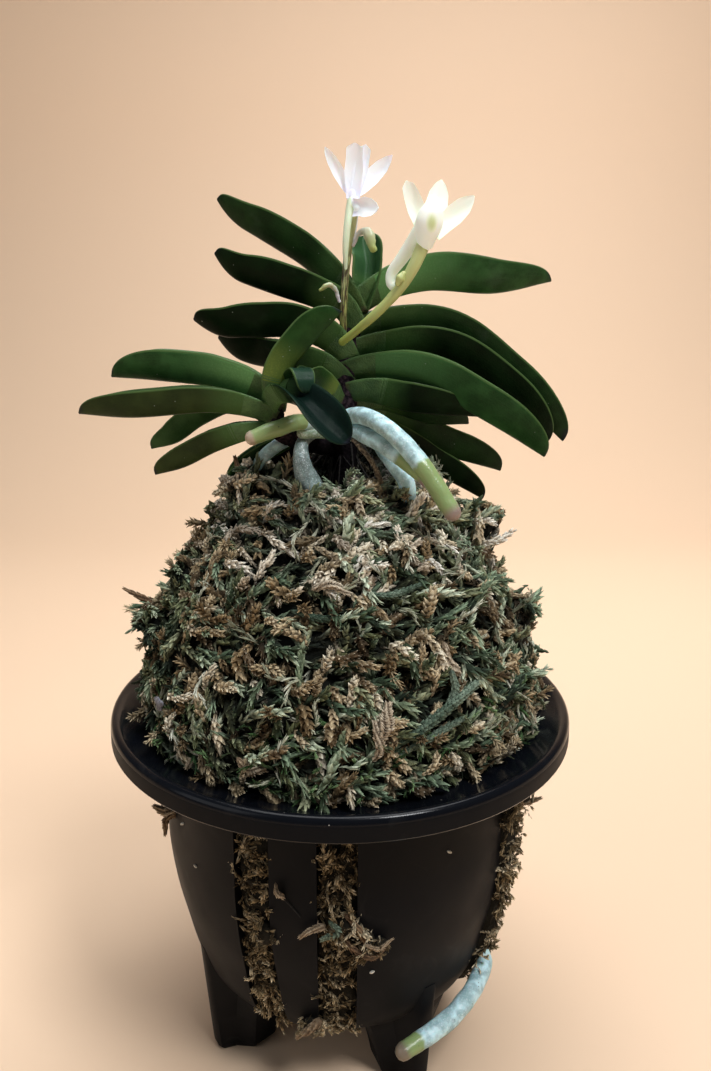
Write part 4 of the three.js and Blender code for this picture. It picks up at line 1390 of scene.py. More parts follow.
@dataclass(frozen=True)
class Mound:
    """The moss: a lumpy core over the lip, pads in the slots, and the layers of strands on both."""

    outline: tuple = (
        (43.2, 0.2), (43.8, 4), (42.2, 11), (39.6, 19), (36.6, 27), (32, 35),
        (26.6, 42), (20.5, 48), (14.5, 50), (9.5, 49), (6, 46),
    )
    hollow: float = 15.0
    tilt: float = 0.33
    around: int = 150
    up: int = 66
    pad_foot: float = 64.8
    pad_half: float = 3.85
    pad_inset: float = 1.7
    pad_bulge: float = 1.4
    bulging_pair: int = 1
    knobs: tuple = (
        ((-18.6, -9.6, 49), (3.6, 3, 5)), ((-37.6, -9, 20.4), (4.2, 3.4, 3)), ((37.4, -8.4, 22.6), (3.6, 3.2, 2.8)),
        ((28.6, -9.6, 42.6), (3.6, 3, 3)), ((-31.6, -10, 31), (3, 3, 2.6)), ((-12.4, -13, 47.6), (4.6, 3.2, 3.8)),
        ((-5.2, -15.6, 47.4), (4.6, 3, 3.2)), ((3.2, -16.4, 47.8), (4.8, 3, 3.8)), ((11.6, -15, 46.8), (4.4, 3, 3.4)),
        ((17.8, -12, 45.2), (4, 3, 3.2)), ((-13.6, 1, 50.4), (5, 5, 4.6)), ((-5.6, 9.6, 51.4), (6.4, 5, 5)),
        ((5.6, 10.2, 51.4), (6.4, 5, 5)), ((13.8, 3.6, 49.6), (5, 5, 4.6)),
    )
    tufts: tuple = (
        ((1.6, -40.2, -31.4), (2.6, 2.2, 3.2)), ((4.4, -40.4, -34.6), (2.4, 2.2, 2.4)),
        ((7.6, -40.2, -35.8), (1.8, 1.6, 1.2)), ((40.4, -15, -18.2), (2.2, 1.8, 1.8)),
        ((-6, -34.6, -60.4), (2, 1.8, 2)), ((-15, -36.6, -36), (2.2, 2, 2.6)),
    )

    def surface(self, share: Array, angle: Array, lift: float = 0.0) -> Array:
        """Places on the mound before it is roughened.

        Args:
            share: shares of its outline, 0 at the dish and 1 in the hollow.
            angle: angles round it, in radians from +X.
            lift: how far outside it, in millimetres.

        Returns:
            (..., 3) places.
        """
        s = np.clip(share, 0, 1) * (len(self.outline) - 1)
        r = np.interp(s, range(len(self.outline)), [p[0] for p in self.outline])
        h = np.interp(s, range(len(self.outline)), [p[1] for p in self.outline])
        r = r - 1.2 + lift + 0.5 * (np.sin(3 * angle + 0.11 * h) + np.sin(7 * angle - 0.2 * h))
        x, y = r * np.cos(angle), r * np.sin(angle)
        z = h - 0.6 + lift * 0.5 + np.where(r < self.hollow, self.tilt * y, 0) * np.clip((self.hollow - r) / 3, 0, 1)
        return np.stack([x, y, z], axis=-1)

    def core(self) -> Object:
        """Makes the lumpy body that the strands lie on, painted near-black as shade in the gaps between them.

        Returns:
            The core.
        """
        shell = Shell()
        share, angle = np.meshgrid(
            np.linspace(0, 1, self.up), np.arange(self.around) * 2 * math.pi / self.around, indexing="ij"
        )
        grid = self.surface(share, angle)
        out = unit(grid * [1, 1, 0.35] - [0, 0, 8])
        lumps = rough(grid, 6.5, 2.3, 1.0) + rough(grid, 2.4, 1.1, 2.0)
        grid = grid + out * lumps.reshape(grid.shape[:2])[..., None] * np.clip(share * 12, 0, 1)[..., None]
        below = grid[0] * [0.93, 0.93, 1] + [0, 0, -2.2]
        for rings in (np.concatenate([below[None], grid], axis=0), *(ball_rings(*knob) for knob in self.knobs)):
            # no depth value here, so the finish's painted shade is full all over the core
            shell.add_rings(rings, tone=0.1, along=0.5, flake=0.3)
        # near-black colours: painted shade seen through the gaps between the strands
        finish = StrandFinish("moss_core", (0.003, 0.004, 0.002), (0.009, 0.012, 0.007), (0.03, 0.035, 0.02), 1.2)
        return shell.make("moss_core", finish, sharp=0)

    def slot_pads(self, pot: Pot) -> Object:
        """Makes the matted moss that fills the slots, and its tufts.

        Args:
            pot: the pot, whose slots it fills nearly flush with the wall.

        Returns:
            The pads as one object.
        """
        pads = []
        depths = np.linspace(pot.slot_top + 0.3, self.pad_foot, 56)
        radii = np.interp(depths, [d for _, d in pot.bowl], [r for r, _ in pot.bowl])
        s = np.linspace(-self.pad_half, self.pad_half, 9)
        for k in range(pot.repeats):
            inset = -self.pad_bulge if k == self.bulging_pair else self.pad_inset
            for first in pot.pair:
                rows = []
                for depth, radius in zip(depths, radii):
                    face = radius - inset - 0.9 * (s / self.pad_half) ** 4
                    back = np.full(9, radius - 6.5)
                    ring = np.concatenate([np.stack([s, -face], 1), np.stack([s[::-1], -back], 1)])
                    rows.append(np.column_stack([ring, np.full(18, -depth)]))
                rows = np.array(rows)
                bumps = rough(rows, 3.2, 1.7, 3.0 + k).reshape(rows.shape[:2])
                rows[:, :9, 1] -= bumps[:, :9]
                pads.append(turned(rows, first + 360 / pot.repeats * k))
        shell = Shell()
        for rings in (*pads, *(ball_rings(*tuft) for tuft in self.tufts)):
            # depth 1.2 gives the pads much of the finish's painted shade
            shell.add_rings(rings, tone=0.3, along=0.5, flake=0.3, depth=1.2)
        finish = StrandFinish("moss_pad", (0.016, 0.011, 0.005), (0.075, 0.052, 0.024), (0.2, 0.145, 0.07), 0.9)
        return shell.make("moss_pads", finish, sharp=0)

    def build(self, pot: Pot) -> None:
        """Makes all of the moss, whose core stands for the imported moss.

        Args:
            pot: the pot that holds it.
        """
        core, pads = self.core(), self.slot_pads(pot)
        # the matted strands take a weaker painted shade near the pads
        matted = StrandFinish(
            "strand_matted", (0.052, 0.036, 0.016), (0.5, 0.37, 0.195), (0.98, 0.84, 0.58), shade=0.35
        )
        in_slots = StrandLayer(
            "moss_slots", matted, 31, (3.0, 6.0), (0.23, 0.52), 17, Twine.LOOSE, Scale(3, 0.84, 0.95), 8, bend=5.5,
            bend_size=2.4, arch=0.5, sink=(-0.2, 0.8), overlap=2.6, outward=True,
        )
        for layer, base in (*((layer, core) for layer in LAYERS), (in_slots, pads)):
            place(layer.grow(base), "moss")
        place(core, "moss", "moss")
        place(pads, "moss")


# ---------------- loose bits

TAN = StrandFinish("scrap_tan", (0.11, 0.07, 0.04), (0.48, 0.36, 0.23), (0.78, 0.68, 0.52))
RUST = StrandFinish("scrap_rust", (0.04, 0.022, 0.012), (0.2, 0.115, 0.06), (0.42, 0.29, 0.17))
TEAL = StrandFinish("scrap_teal", (0.012, 0.022, 0.014), (0.06, 0.105, 0.068), (0.26, 0.34, 0.25))

# Each bit of moss that stands out on its own: its finish, its line, its radii and its tone.
SCRAPS = (
    (TAN, ((-7.4, -42.2, -0.9), (-3.2, -43.8, -1.1), (1.6, -43.4, -0.7)), (0.5, 1.35, 0.9), 0.8),
    (TAN, ((2.6, -43.2, 1.2), (3.4, -44, -1.2)), (0.5, 0.8, 0.4), 0.9),
    (TAN, ((-5.6, -33.4, 36), (-2.2, -34.4, 37.4), (0.9, -34, 35.8)), (0.7, 1.05, 0.5), 1),
    (TAN, ((-12.8, -39.6, -22.2), (-12.5, -40.4, -23.6), (-11.6, -39.9, -25)), (0.35, 0.75, 0.4), 0.8),
    (TAN, ((6.2, -42.6, 9.5), (8, -43.2, 12.4), (8.6, -41.6, 16.2)), (0.8, 1.5, 0.7), 0.9),
    (TAN, ((4.6, -43.6, 5.8), (7, -44.2, 8.8), (6.4, -42.6, 13)), (0.5, 1.1, 0.6), 0.8),
    (TAN, ((19.4, -33.6, 25.8), (20.4, -33.8, 22), (22.8, -32.4, 18.8)), (0.7, 1.25, 0.5), 0.8),
    (TAN, ((-28.5, -32, 1.6), (-30.2, -32.8, -0.6)), (0.5, 1.1, 0.5), 0.9),
    (TAN, ((-19.6, -39.6, 5), (-17.2, -41, 3.2), (-14.6, -41.2, 3.4)), (0.6, 1.2, 0.6), 0.7),
    (RUST, ((-18.4, -12.4, 48), (-20.6, -11.2, 52.6), (-21.9, -10, 56.6)), (1.1, 0.9, 0.4), 0.4),
    (RUST, ((-15.2, -12.6, 49), (-16.2, -11.4, 52), (-18.4, -10.6, 54.6)), (1, 0.9, 0.4), 0.7),
    (RUST, ((-37.6, -7, 22), (-42.4, -6.4, 24.6), (-47.4, -5, 26.8)), (1.1, 0.9, 0.35), 0.6),
    (RUST, ((36.4, -8.2, 22.8), (39.6, -6, 24), (43, -5, 25)), (1, 0.7, 0.25), 0.5),
    (RUST, ((26.8, -10.6, 43.8), (30.6, -8.6, 46.6), (34, -8, 45.6)), (0.9, 1, 0.5), 0.6),
    (RUST, ((-1, -41, -31.6), (2.2, -43, -34.4), (6.2, -42.6, -37), (8.8, -41.2, -36)), (0.5, 0.7, 0.6, 0.3), 0.4),
    (RUST, ((0.8, -41.4, -28), (3.4, -42.4, -30.6), (4.6, -42.2, -33.8)), (0.5, 0.75, 0.4), 0.6),
    (TAN, ((4.4, -42.6, -34), (7.4, -42.6, -35), (9.8, -41, -34.6)), (0.4, 0.5, 0.2), 0.6),
    (TAN, ((-3, -40.9, -31.2), (-5.8, -42, -31.2), (-7.6, -41.6, -32.8)), (0.8, 0.7, 0.4), 0.6),
    (TAN, ((-4.2, -37.8, -56.6), (-6.6, -37, -59.8), (-8.8, -36, -62.4)), (1.1, 0.9, 0.5), 0.5),
    (TAN, ((37.6, -15, -18.4), (41.6, -15.2, -19.8), (44, -16.2, -18.4)), (0.8, 0.8, 0.4), 0.6),
    (TAN, ((-35.4, -18.4, -19.4), (-38.2, -19.2, -19.4), (-40.2, -19.6, -18)), (0.9, 1.2, 0.4), 0.7),
    (RUST, ((-35.6, -18.6, -19.8), (-38, -19.2, -21), (-38.6, -19.4, -24.4)), (0.9, 0.8, 0.3), 0.8),
    (TEAL, ((8.2, -42.8, 8.2), (14.6, -41.2, 11.4), (20.6, -38, 14.6), (25.6, -33.4, 16.8)), (0.9, 1.1, 1.1, 0.8), 0.8),
    (TEAL, ((9.6, -42.6, 6.4), (16.4, -40.6, 9.4), (22.4, -37.2, 11.2)), (0.6, 0.9, 0.6), 0.9),
    (TEAL, ((20.8, -34.8, 20.6), (21.6, -35.6, 17), (19.8, -37.2, 13.2)), (0.7, 0.9, 0.6), 1),
    (TEAL, ((-9.6, -33.4, 32), (-3.4, -35.2, 31), (2.8, -35.4, 31.6)), (0.5, 0.8, 0.5), 0.6),
    (TEAL, ((4, -32.6, 35), (9.4, -32.2, 34.6), (14.4, -29.8, 35.6)), (0.6, 0.8, 0.5), 0.7),
    (TEAL, ((-2.4, -41.4, -29.4), (-0.6, -42.4, -31), (-3.2, -41.6, -33.4)), (0.6, 0.8, 0.5), 1),
)

GRAINS = ((21.8, -34.9, -18.7), (-33.8, -23.4, -19.6), (-30.6, -27.4, -27.2), (6.4, -38.9, -43.8))


@dataclass(frozen=True)
class Litter:
    """Loose bits: single strands, pale grains on the wall, a grey flake, and dead fibres round the stem."""

    fibres: int = 30
    hair: tuple = ((-11.8, -39.4, -25.4), (-10.6, -40.1, -26.2), (-9.3, -40.1, -27.8), (-7.9, -40.6, -29.4))
    flake_at: tuple = (-37.2, -24.6, 8.8)
    flake_radius: float = 1.9

    def strands(self) -> None:
        """Makes the single strands, one piece for each finish."""
        for finish in (TAN, RUST, TEAL):
            shell = Shell()
            whorl = Scale(4, 0.88, 0.97) if finish is TEAL else Scale(5, 0.86, 1.0)
            for i, (own, line, girths, tone) in enumerate(SCRAPS):
                if own is finish:
                    whorl.chain(shell, line, girths, int(line_length(line) * 2.0) + 6, tone, float(i))
            place(shell.make(finish.name, finish, sharp=0), "moss")

    def fibre_tuft(self) -> None:
        """Makes the dead fibres that spread from the stem's foot into the moss."""
        shell = Shell()
        rng = np.random.default_rng(5)
        for _ in range(self.fibres):
            a, spread = rng.uniform(0, 2 * math.pi), rng.uniform(3.5, 12)
            top = rng.uniform(55, 65)
            start = np.array([0.4 + 2 * math.cos(a), 2 * math.sin(a), top])
            b = a + rng.uniform(-1.3, 1.3)
            end = np.array([spread * math.cos(b), spread * math.sin(b), 46.5 + 0.33 * min(spread * math.sin(b), 6)])
            middle = start * 0.5 + end * 0.5 + rng.uniform(-1.4, 1.4, 3) + [0, 0, 1.2]
            width = rng.uniform(0.1, 0.3)
            shell.add_rings(tube_rings([start, middle, end], [width, width * 0.9, width * 0.7], 10, 6), tone=0.2)
        # near-black: partly the fibres' own dead brown, partly painted shade in the hollow under the leaves
        finish = DryFinish("dead_fibre", (0.003, 0.0025, 0.002), (0.022, 0.016, 0.012))
        place(shell.make("dead_fibres", finish), "root_dry")

    def flake(self) -> Array:
        """The rings of the thin grey flake.

        Returns:
            (3, 22, 3) places.
        """
        centre = np.array(self.flake_at)
        out = unit(centre * [1, 1, 0])
        side = np.cross(out, [0, 0, 1])
        angle = np.arange(22)[:, None] * 2 * math.pi / 22
        rim = self.flake_radius + 0.45 * np.sin(3 * angle) + 0.3 * np.sin(5 * angle + 1)
        ring = centre + rim * (np.cos(angle) * side + 0.75 * np.sin(angle) * np.array([0, 0, 1]))
        return np.array([ring - out * 0.25, ring + out * 0.05, centre + (ring - centre) * 0.7 + out * 0.3])

    def build(self) -> None:
        """Makes all of the loose bits."""
        grains = []
        for i, spot in enumerate(GRAINS):
            centre = np.array(spot)
            reach = np.array([0.35, 0, 0.18 if i % 2 else -0.22])
            grains.append(tube_rings([centre - reach, centre, centre + reach], [0.2, 0.34, 0.2], 6, 10))
        hair = tube_rings(self.hair, [0.1, 0.16, 0.16, 0.08], 24, 8)
        for name, bits, finish in (
            ("pale_grains", grains, DryFinish("pale_grain", (0.45, 0.43, 0.36), (0.8, 0.78, 0.7))),
            ("dark_hair", [hair], DryFinish("dark_hair", (0.004, 0.004, 0.004), (0.012, 0.011, 0.01))),
            ("grey_flake", [self.flake()], DryFinish("grey_flake", (0.1, 0.1, 0.12), (0.3, 0.3, 0.33))),
        ):
            shell = Shell()
            for rings in bits:
                shell.add_rings(rings)
            place(shell.make(name, finish), "moss")
        self.strands()
        self.fibre_tuft()


# ---------------- blades, sheaths and stems

WIDTHS = ((0, 0.62), (0.1, 0.72), (0.25, 0.9), (0.45, 1), (1, 1))
THICKNESS = ((0, 0.85), (0.3, 1), (0.75, 0.95), (0.95, 0.7), (1, 0.4))
ROUND = 2.15  # how full a blade's rounded end is: 2 is an ellipse


@dataclass(frozen=True)
class Blade:
    """A folded leaf: its keel from the stem to the tip, and the width from the keel to the margin."""

    node: str
    keel: tuple
    half: float
    finish: LeafFinish
    fold: tuple = (26.0, 35.0)
    opens: float = 0.6
    roll: tuple = (0.0, 0.0)
    crease: float = 0.1
    thick: float = 1.25
    sheath: float = 7.5
    taper: float = 0.68
    lift: float = 0.0
    rings: int = 46

    def length(self) -> float:
        """The keel's length in millimetres."""
        return line_length(self.keel)

    def joint(self) -> float:
        """Where the blade meets its sheath, as a share of its length."""
        return min(self.sheath / self.length(), 0.3)

    def frames(self, t: Array) -> tuple[Array, Array, Array, Array]:
        """Places, sideways, upward and forward directions along the keel.

        Args:
            t: shares of the length.

        Returns:
            Four arrays of (count, 3).
        """
        places, tangents = smooth_line(self.keel, 400)
        centre, ahead = (
            np.stack([np.interp(t * 399, range(400), rows[:, k]) for k in range(3)], 1) for rows in (places, tangents)
        )
        ahead = unit(ahead)
        chord = np.array(self.keel[-1], float) - np.array(self.keel[0], float)
        level = unit(np.cross(chord, [0, 0, 1]))
        side = unit(level - ahead * (ahead @ level)[:, None])
        up = np.cross(side, ahead)
        turn = np.radians(self.roll[0] + (self.roll[1] - self.roll[0]) * t)[:, None]
        side, up = (np.cos(turn) * rows + np.sin(turn) * np.cross(ahead, rows) for rows in (side, up))
        return centre, side, up, ahead

    def section(self, t: float, swell: float) -> tuple[Array, Array, Array]:
        """The outline of a cut across the blade.

        Args:
            t: share of the length.
            swell: how much thicker than usual it is, in millimetres.

        Returns:
            Points as (sideways, upward), how far each is from keel to margin, and 1 for the inner face.
        """
        end = max(0.0, (t - self.taper) / (1 - self.taper))
        half = self.half * float(read_off(WIDTHS, t, 0.02)[0]) * max(0.09, (1 - end**ROUND) ** (1 / ROUND))
        ease = min(max((t - self.opens) / (1 - self.opens), 0), 1)
        fold = math.radians(self.fold[0] + (self.fold[1] - self.fold[0]) * ease * ease * (3 - 2 * ease))
        thick = min((self.thick + swell) * float(read_off(THICKNESS, t, 0.02)[0]), half * 0.6)
        u = np.linspace(0, 1, 12) ** 0.9
        q = self.crease
        rise = (np.sqrt(u * u + q * q) - q) / (math.sqrt(1 + q * q) - q)
        bulge = 0.07 * half * np.sin(math.pi * u)
        sin, cos = math.sin(fold), math.cos(fold)
        outer = np.stack([half * sin * u + bulge * cos, half * cos * rise - bulge * sin], 1)
        slope = unit(np.gradient(outer, axis=0))
        inward = np.stack([-slope[:, 1], slope[:, 0]], 1)
        body = thick * np.interp(u, [0, 0.75, 0.93, 1], [1.0, 0.72, 0.5, 0.28])
        inner = outer + inward * body[:, None]
        inner[:, 0] = np.maximum(inner[:, 0], 0.03)
        inner[0, 0] = 0.0
        inner[0, 1] = min(thick / max(sin, 0.2), half * 0.42)
        inner[1:, 1] = np.maximum(inner[1:, 1], inner[0, 1])
        lip = (outer[-1] + inner[-1]) / 2 + slope[-1] * body[-1] * 0.45
        flip = [-1, 1]
        outline = np.vstack([outer[::-1], outer[1:] * flip, [lip * flip], inner[::-1] * flip, inner[1:], [lip]])
        across = np.concatenate([u[::-1], u[1:], [1.0], u[::-1], u[1:], [1.0]])
        inside = np.concatenate([np.zeros(23), [0.5], np.ones(23), [0.5]])
        return outline, across, inside

    def rings_between(self, start: float, end: float, count: int, swell: float) -> tuple[Array, dict]:
        """Rings of the surface between two shares of the length.

        Args:
            start: the first share.
            end: the last share.
            count: how many rings.
            swell: how much thicker than usual it is, in millimetres.

        Returns:
            (rings, points, 3) places, and the named values at them.
        """
        t = start + (end - start) * (1 - (1 - np.linspace(0, 1, count)) ** 1.35)
        centre, side, up, ahead = self.frames(t)
        centre = centre + up * (self.lift * np.clip((t - 0.78) / 0.22, 0, 1) ** 2)[:, None]
        rows, across, inside = [], [], []
        for i, share in enumerate(t):
            outline, a, b = self.section(share, swell)
            rows.append(centre[i] + outline[:, :1] * side[i] + outline[:, 1:] * up[i])
            across.append(a)
            inside.append(b)
        rows = np.array(rows)
        if end == 1:
            last = rows[-1]
            close = last.mean(axis=0) + (last - last.mean(axis=0)) * 0.35 + ahead[-1] * 0.12
            rows = np.concatenate([rows, close[None]])
            across.append(across[-1])
            inside.append(inside[-1])
            t = np.append(t, 1.0)
        wave = rough(rows, 11.0, 0.1, len(self.node) + self.half).reshape(rows.shape[:2])
        wave = wave * np.clip((t - 0.15) * 3, 0, 1)[:, None]
        rows = rows + wave[..., None] * np.append(up, up[-1:], axis=0)[: len(rows), None]
        return rows, {"along": t[:, None], "across": np.array(across), "inside": np.array(inside)}

    def build(self) -> None:
        """Makes the blade beyond its joint."""
        shell = Shell()
        joint = self.joint()
        rings, values = self.rings_between(joint - 0.8 / self.length(), 1.0, self.rings, 0.0)
        values["along"] = np.clip((values["along"] - joint) / (1 - joint), 0, 1)
        shell.add_rings(rings, **values)
        place(shell.make(f"blade_{self.node}", self.finish, sharp=70), "leaf", self.node)

    def add_sheath(self, shell: Shell) -> None:
        """Adds the clasping base, a little thicker, with a rounded edge at the joint.

        Args:
            shell: what it is added to.
        """
        rings, values = self.rings_between(0.0, self.joint(), 9, 0.2)
        middle = rings[-1].mean(axis=0)
        lipped = middle + (rings[-1] - middle) * 0.965
        rings = np.concatenate([rings, lipped[None] + (rings[-1] - rings[-2]).mean(axis=0) * 0.04])
        along = np.append(values["along"][:, 0] / self.joint(), 1.0)[:, None]
        across = np.concatenate([values["across"], values["across"][-1:]])
        shell.add_rings(rings, along=along, across=across)


# The leaf finishes differ partly in the leaves' own greens and partly as lit and shaded copies of one green: the
# darkest is painted shade on the leaves that lie in the others' shadow.
DEEP = LeafFinish("leaf_deep")
SHADED_DARKEST = LeafFinish(
    "leaf_darkest", blade=(0.0022, 0.0075, 0.0022), fresh=(0.005, 0.017, 0.0045), dust=0.06, specular=0.06
)
MID = LeafFinish(
    "leaf_mid", blade=(0.01, 0.04, 0.01), fresh=(0.03, 0.1, 0.028), inner=(0.016, 0.052, 0.018),
    base=(0.085, 0.205, 0.07), base_reach=0.48,
)
LIGHT = LeafFinish(
    "leaf_light", blade=(0.018, 0.056, 0.014), fresh=(0.042, 0.105, 0.03), inner=(0.03, 0.085, 0.034), base_reach=0.34
)
FRESH = LeafFinish(
    "leaf_fresh", blade=(0.012, 0.045, 0.012), fresh=(0.036, 0.115, 0.034), inner=(0.02, 0.064, 0.022),
    base=(0.15, 0.34, 0.12), base_reach=0.58,
)
OLIVE = LeafFinish("leaf_olive", blade=(0.016, 0.029, 0.008), fresh=(0.032, 0.054, 0.014))
YELLOW = LeafFinish(
    "leaf_yellow", blade=(0.008, 0.032, 0.007), fresh=(0.021, 0.066, 0.015), base=(0.17, 0.24, 0.05), base_reach=0.5
)
BLUE = LeafFinish(
    "leaf_blue", blade=(0.004, 0.012, 0.006), fresh=(0.007, 0.02, 0.011), inner=(0.0028, 0.0085, 0.0078),
    base=(0.05, 0.1, 0.035), base_reach=0.25, dust=0.04, margin=(0.01, 0.024, 0.014), specular=0.04,
)

BLADES = (
    Blade(
        "leaf_right_4", ((0.9, 0, 71.7), (5.6, -1, 72.6), (16.6, -3, 71.5), (29.4, -4, 64.9), (43.6, -4, 56.6)),
        8, MID,
    ),
    Blade(
        "leaf_right_3", ((1.8, 1, 76.2), (8.3, 2, 77.1), (21.5, 4, 76.2), (35.4, 6, 67.4), (46.6, 7, 58.1)),
        8, SHADED_DARKEST,
    ),
    Blade(
        "leaf_right_2", ((2.2, 2, 80), (7.8, 4, 82.1), (21.8, 8, 81.2), (36.1, 11, 71.5), (51.6, 12, 57.9)),
        7.4, DEEP,
    ),
    Blade(
        "leaf_right_1", ((3, 2, 84.6), (7.3, 3, 87.9), (18.1, 5, 91.1), (33.4, 6, 90.7), (45.5, 7, 93.3)),
        8.4, FRESH, taper=0.5,
    ),
    Blade("leaf_right_5", ((1.4, -1, 67.9), (5.2, -2, 68), (14.6, -3, 66), (30.2, -2, 64.9)), 7.2, SHADED_DARKEST, taper=0.25),
    Blade("leaf_right_6", ((2.3, 1, 65.6), (8.5, 4, 65.7), (20.1, 8, 62.2), (29.1, 10, 62)), 5.4, DEEP),
    Blade("leaf_right_7", ((2.7, 3, 63.6), (9.1, 7, 62.3), (22.2, 13, 55.1), (38.1, 16, 50.1)), 7, DEEP),
    Blade("leaf_right_8", ((3.2, 4, 61.7), (9.7, 8, 58.6), (21, 14, 50.6), (34.3, 17, 43)), 5.8, SHADED_DARKEST),
    Blade(
        "leaf_left_1", ((2, 1, 85.4), (-0.8, 0, 89), (-7.6, 2, 95.3), (-17.1, 3, 101.2), (-27.2, 4, 106.6)),
        6.8, DEEP, taper=0.56, lift=2.6,
    ),
    Blade(
        "leaf_left_2",
        ((1.3, 0, 81.3), (-1.2, -1, 85.4), (-6.8, -3, 87.7), (-13.8, -4, 89.8), (-20.8, -4, 92.3), (-26.9, -4, 94.8)),
        7, SHADED_DARKEST, taper=0.56, lift=3.0,
    ),
    Blade(
        "leaf_left_3",
        ((0.5, 0, 73.8), (-3.3, -2, 78.4), (-10.5, -5, 81.2), (-17, -6, 81.3), (-23.6, -6, 81.3), (-30.3, -6, 81.8)),
        7.5, SHADED_DARKEST, taper=0.62, lift=2.8,
    ),
    Blade(
        "leaf_left_4", ((0.3, 0, 70), (-4.2, -2, 73), (-11.6, -4, 74.6), (-18.9, -1, 75.7), (-27, 0, 78.5)),
        6.6, SHADED_DARKEST, taper=0.6, lift=2.6,
    ),
    Blade("leaf_left_5", ((-0.8, -3, 66.8), (-3.2, -8, 69.3), (-5.9, -14, 71.8), (-8, -19, 73.7)), 4.6, YELLOW),
    Blade("leaf_centre", ((4.4, 4, 85.8), (5.9, 6, 91.3), (6.3, 8, 97.2), (5.2, 9, 102.6)), 7.2, LIGHT),
    Blade("leaf_low", ((-6, -3, 60.5), (-11.5, -5, 58), (-19.4, -7, 53.2), (-23.7, -6, 47.6)), 4.5, DEEP),
    Blade(
        "shoot_front", ((-13.6, -13, 65.3), (-11.7, -17, 68.9), (-7.2, -22, 68.6), (-2.9, -26, 66), (1.4, -28, 62.8)),
        5, BLUE, fold=(24.0, 54.0), opens=0.1, roll=(0.0, 42.0),
    ),
    Blade(
        "shoot_up", ((-12.8, -13, 66.9), (-11.2, -15, 71.1), (-10.1, -16, 74.6), (-5.1, -17, 80.9), (0, -17, 86.3)),
        5.4, YELLOW,
    ),
    Blade(
        "shoot_small",
        (
            (-11.6, -12, 66.8), (-10.8, -14, 70.6), (-9.2, -17, 73.8), (-7.8, -20, 75), (-7.1, -22, 73.8),
            (-6.9, -22.6, 71.4),
        ),
        2.3, DEEP, fold=(32.0, 84.0), opens=0.1, crease=0.6, thick=1.1, taper=0.7,
    ),
    Blade(
        "shoot_left_1",
        ((-14.1, -12, 65.6), (-17.6, -12, 69.2), (-25.8, -13, 71.8), (-35.9, -14, 73), (-45.3, -14, 73.7)),
        6.8, FRESH,
    ),
    Blade(
        "shoot_left_2", ((-14, -13, 64.1), (-17.9, -14, 65.8), (-26.3, -16, 67), (-41.2, -18, 66.1), (-51, -18, 66.9)),
        5.8, OLIVE,
    ),
    Blade(
        "shoot_left_3",
        ((-14.2, -11, 63.1), (-20.9, -9, 66.5), (-28.6, -6, 63.6), (-34.9, -4, 59.4), (-40.7, -3, 57.9)),
        5.2, LIGHT,
    ),
    Blade(
        "shoot_left_4", ((-14.2, -12, 62), (-18.5, -13, 61.3), (-25.2, -12, 58.8), (-32.7, -10, 55), (-38.8, -9, 53.3)),
        5, OLIVE,
    ),
)


@dataclass(frozen=True)
class Stems:
    """The two stems, which the leaves' sheaths clasp, and an old stub, each as a line and its radii."""

    main: tuple = ((0, 0, 44), (0.4, 0, 58), (0.6, 0, 72), (2.2, 1.2, 86)), (2.6, 3, 2.8, 2)
    shoot: tuple = ((-1, -3, 58), (-8, -8, 60.5), (-13.4, -12, 64), (-13.4, -12.4, 66.5)), (1.7, 2, 2.3, 1.7)
    # the old stub fills the dark gap under the leaves and lies below the bark's painted shadow, so it is painted
    # near-black
    stub: tuple = ((-14.4, -1, 50), (-13.4, -1, 55.4), (-8, -1, 60)), (3, 3.2, 2.8)

    def build(self, blades: tuple) -> None:
        """Makes the old stems and the sheaths on them, which stand for the stem.

        Args:
            blades: the blades whose sheaths they carry.
        """
        bark = Shell()
        for line, radii in (self.main, self.shoot, self.stub):
            rings = tube_rings(line, radii, 60, 28)
            bark.add_rings(ruffled(rings, rough(rings, 1.6, 0.35)))
        sheaths = Shell()
        for blade in blades:
            blade.add_sheath(sheaths)
        place(bark.make("old_stems", BarkFinish()), "stem")
        place(sheaths.make("sheaths", SheathFinish(), sharp=60), "stem", "stem")


# ---------------- roots


@dataclass(frozen=True)
class Root:
    """An aerial root from the stem to its growing end."""

    node: str
    line: tuple
    radii: tuple
    finish: RootFinish | DryFinish
    slot: str = "root"
    bumps: float = 0.12

    def build(self) -> None:
        """Makes the root."""
        shell = Shell()
        count = max(24, int(line_length(self.line) * 2.2))
        rings = tube_rings(self.line, self.radii, count, 24)
        lumps = rough(rings, 2.6, self.bumps, len(self.line)) + rough(rings, 0.9, self.bumps * 0.5, 5.0)
        shell.add_rings(ruffled(rings, lumps), along=tube_along(count))
        place(shell.make(f"aerial_{self.node}", self.finish), self.slot, self.node)


SILVER = RootFinish("root_silver")
LONG_END = RootFinish("root_long_end", growing_from=0.7, tip_from=0.95)
ENDING = RootFinish("root_ending", growing_from=0.7, tip_from=0.9)
PINK_END = RootFinish("root_pink_end", growing_from=0.3, tip_from=0.95, tip=(0.46, 0.34, 0.28))
HANGING = RootFinish("root_hanging_end", growing_from=0.86, tip_from=0.95, tip=(0.2, 0.13, 0.12))
FLECKED = RootFinish("root_flecked", coat=(0.25, 0.33, 0.32), shade=(0.12, 0.16, 0.15), specks=0.32)
GREENISH = RootFinish("root_greenish", coat=(0.34, 0.44, 0.32), shade=(0.18, 0.26, 0.17))

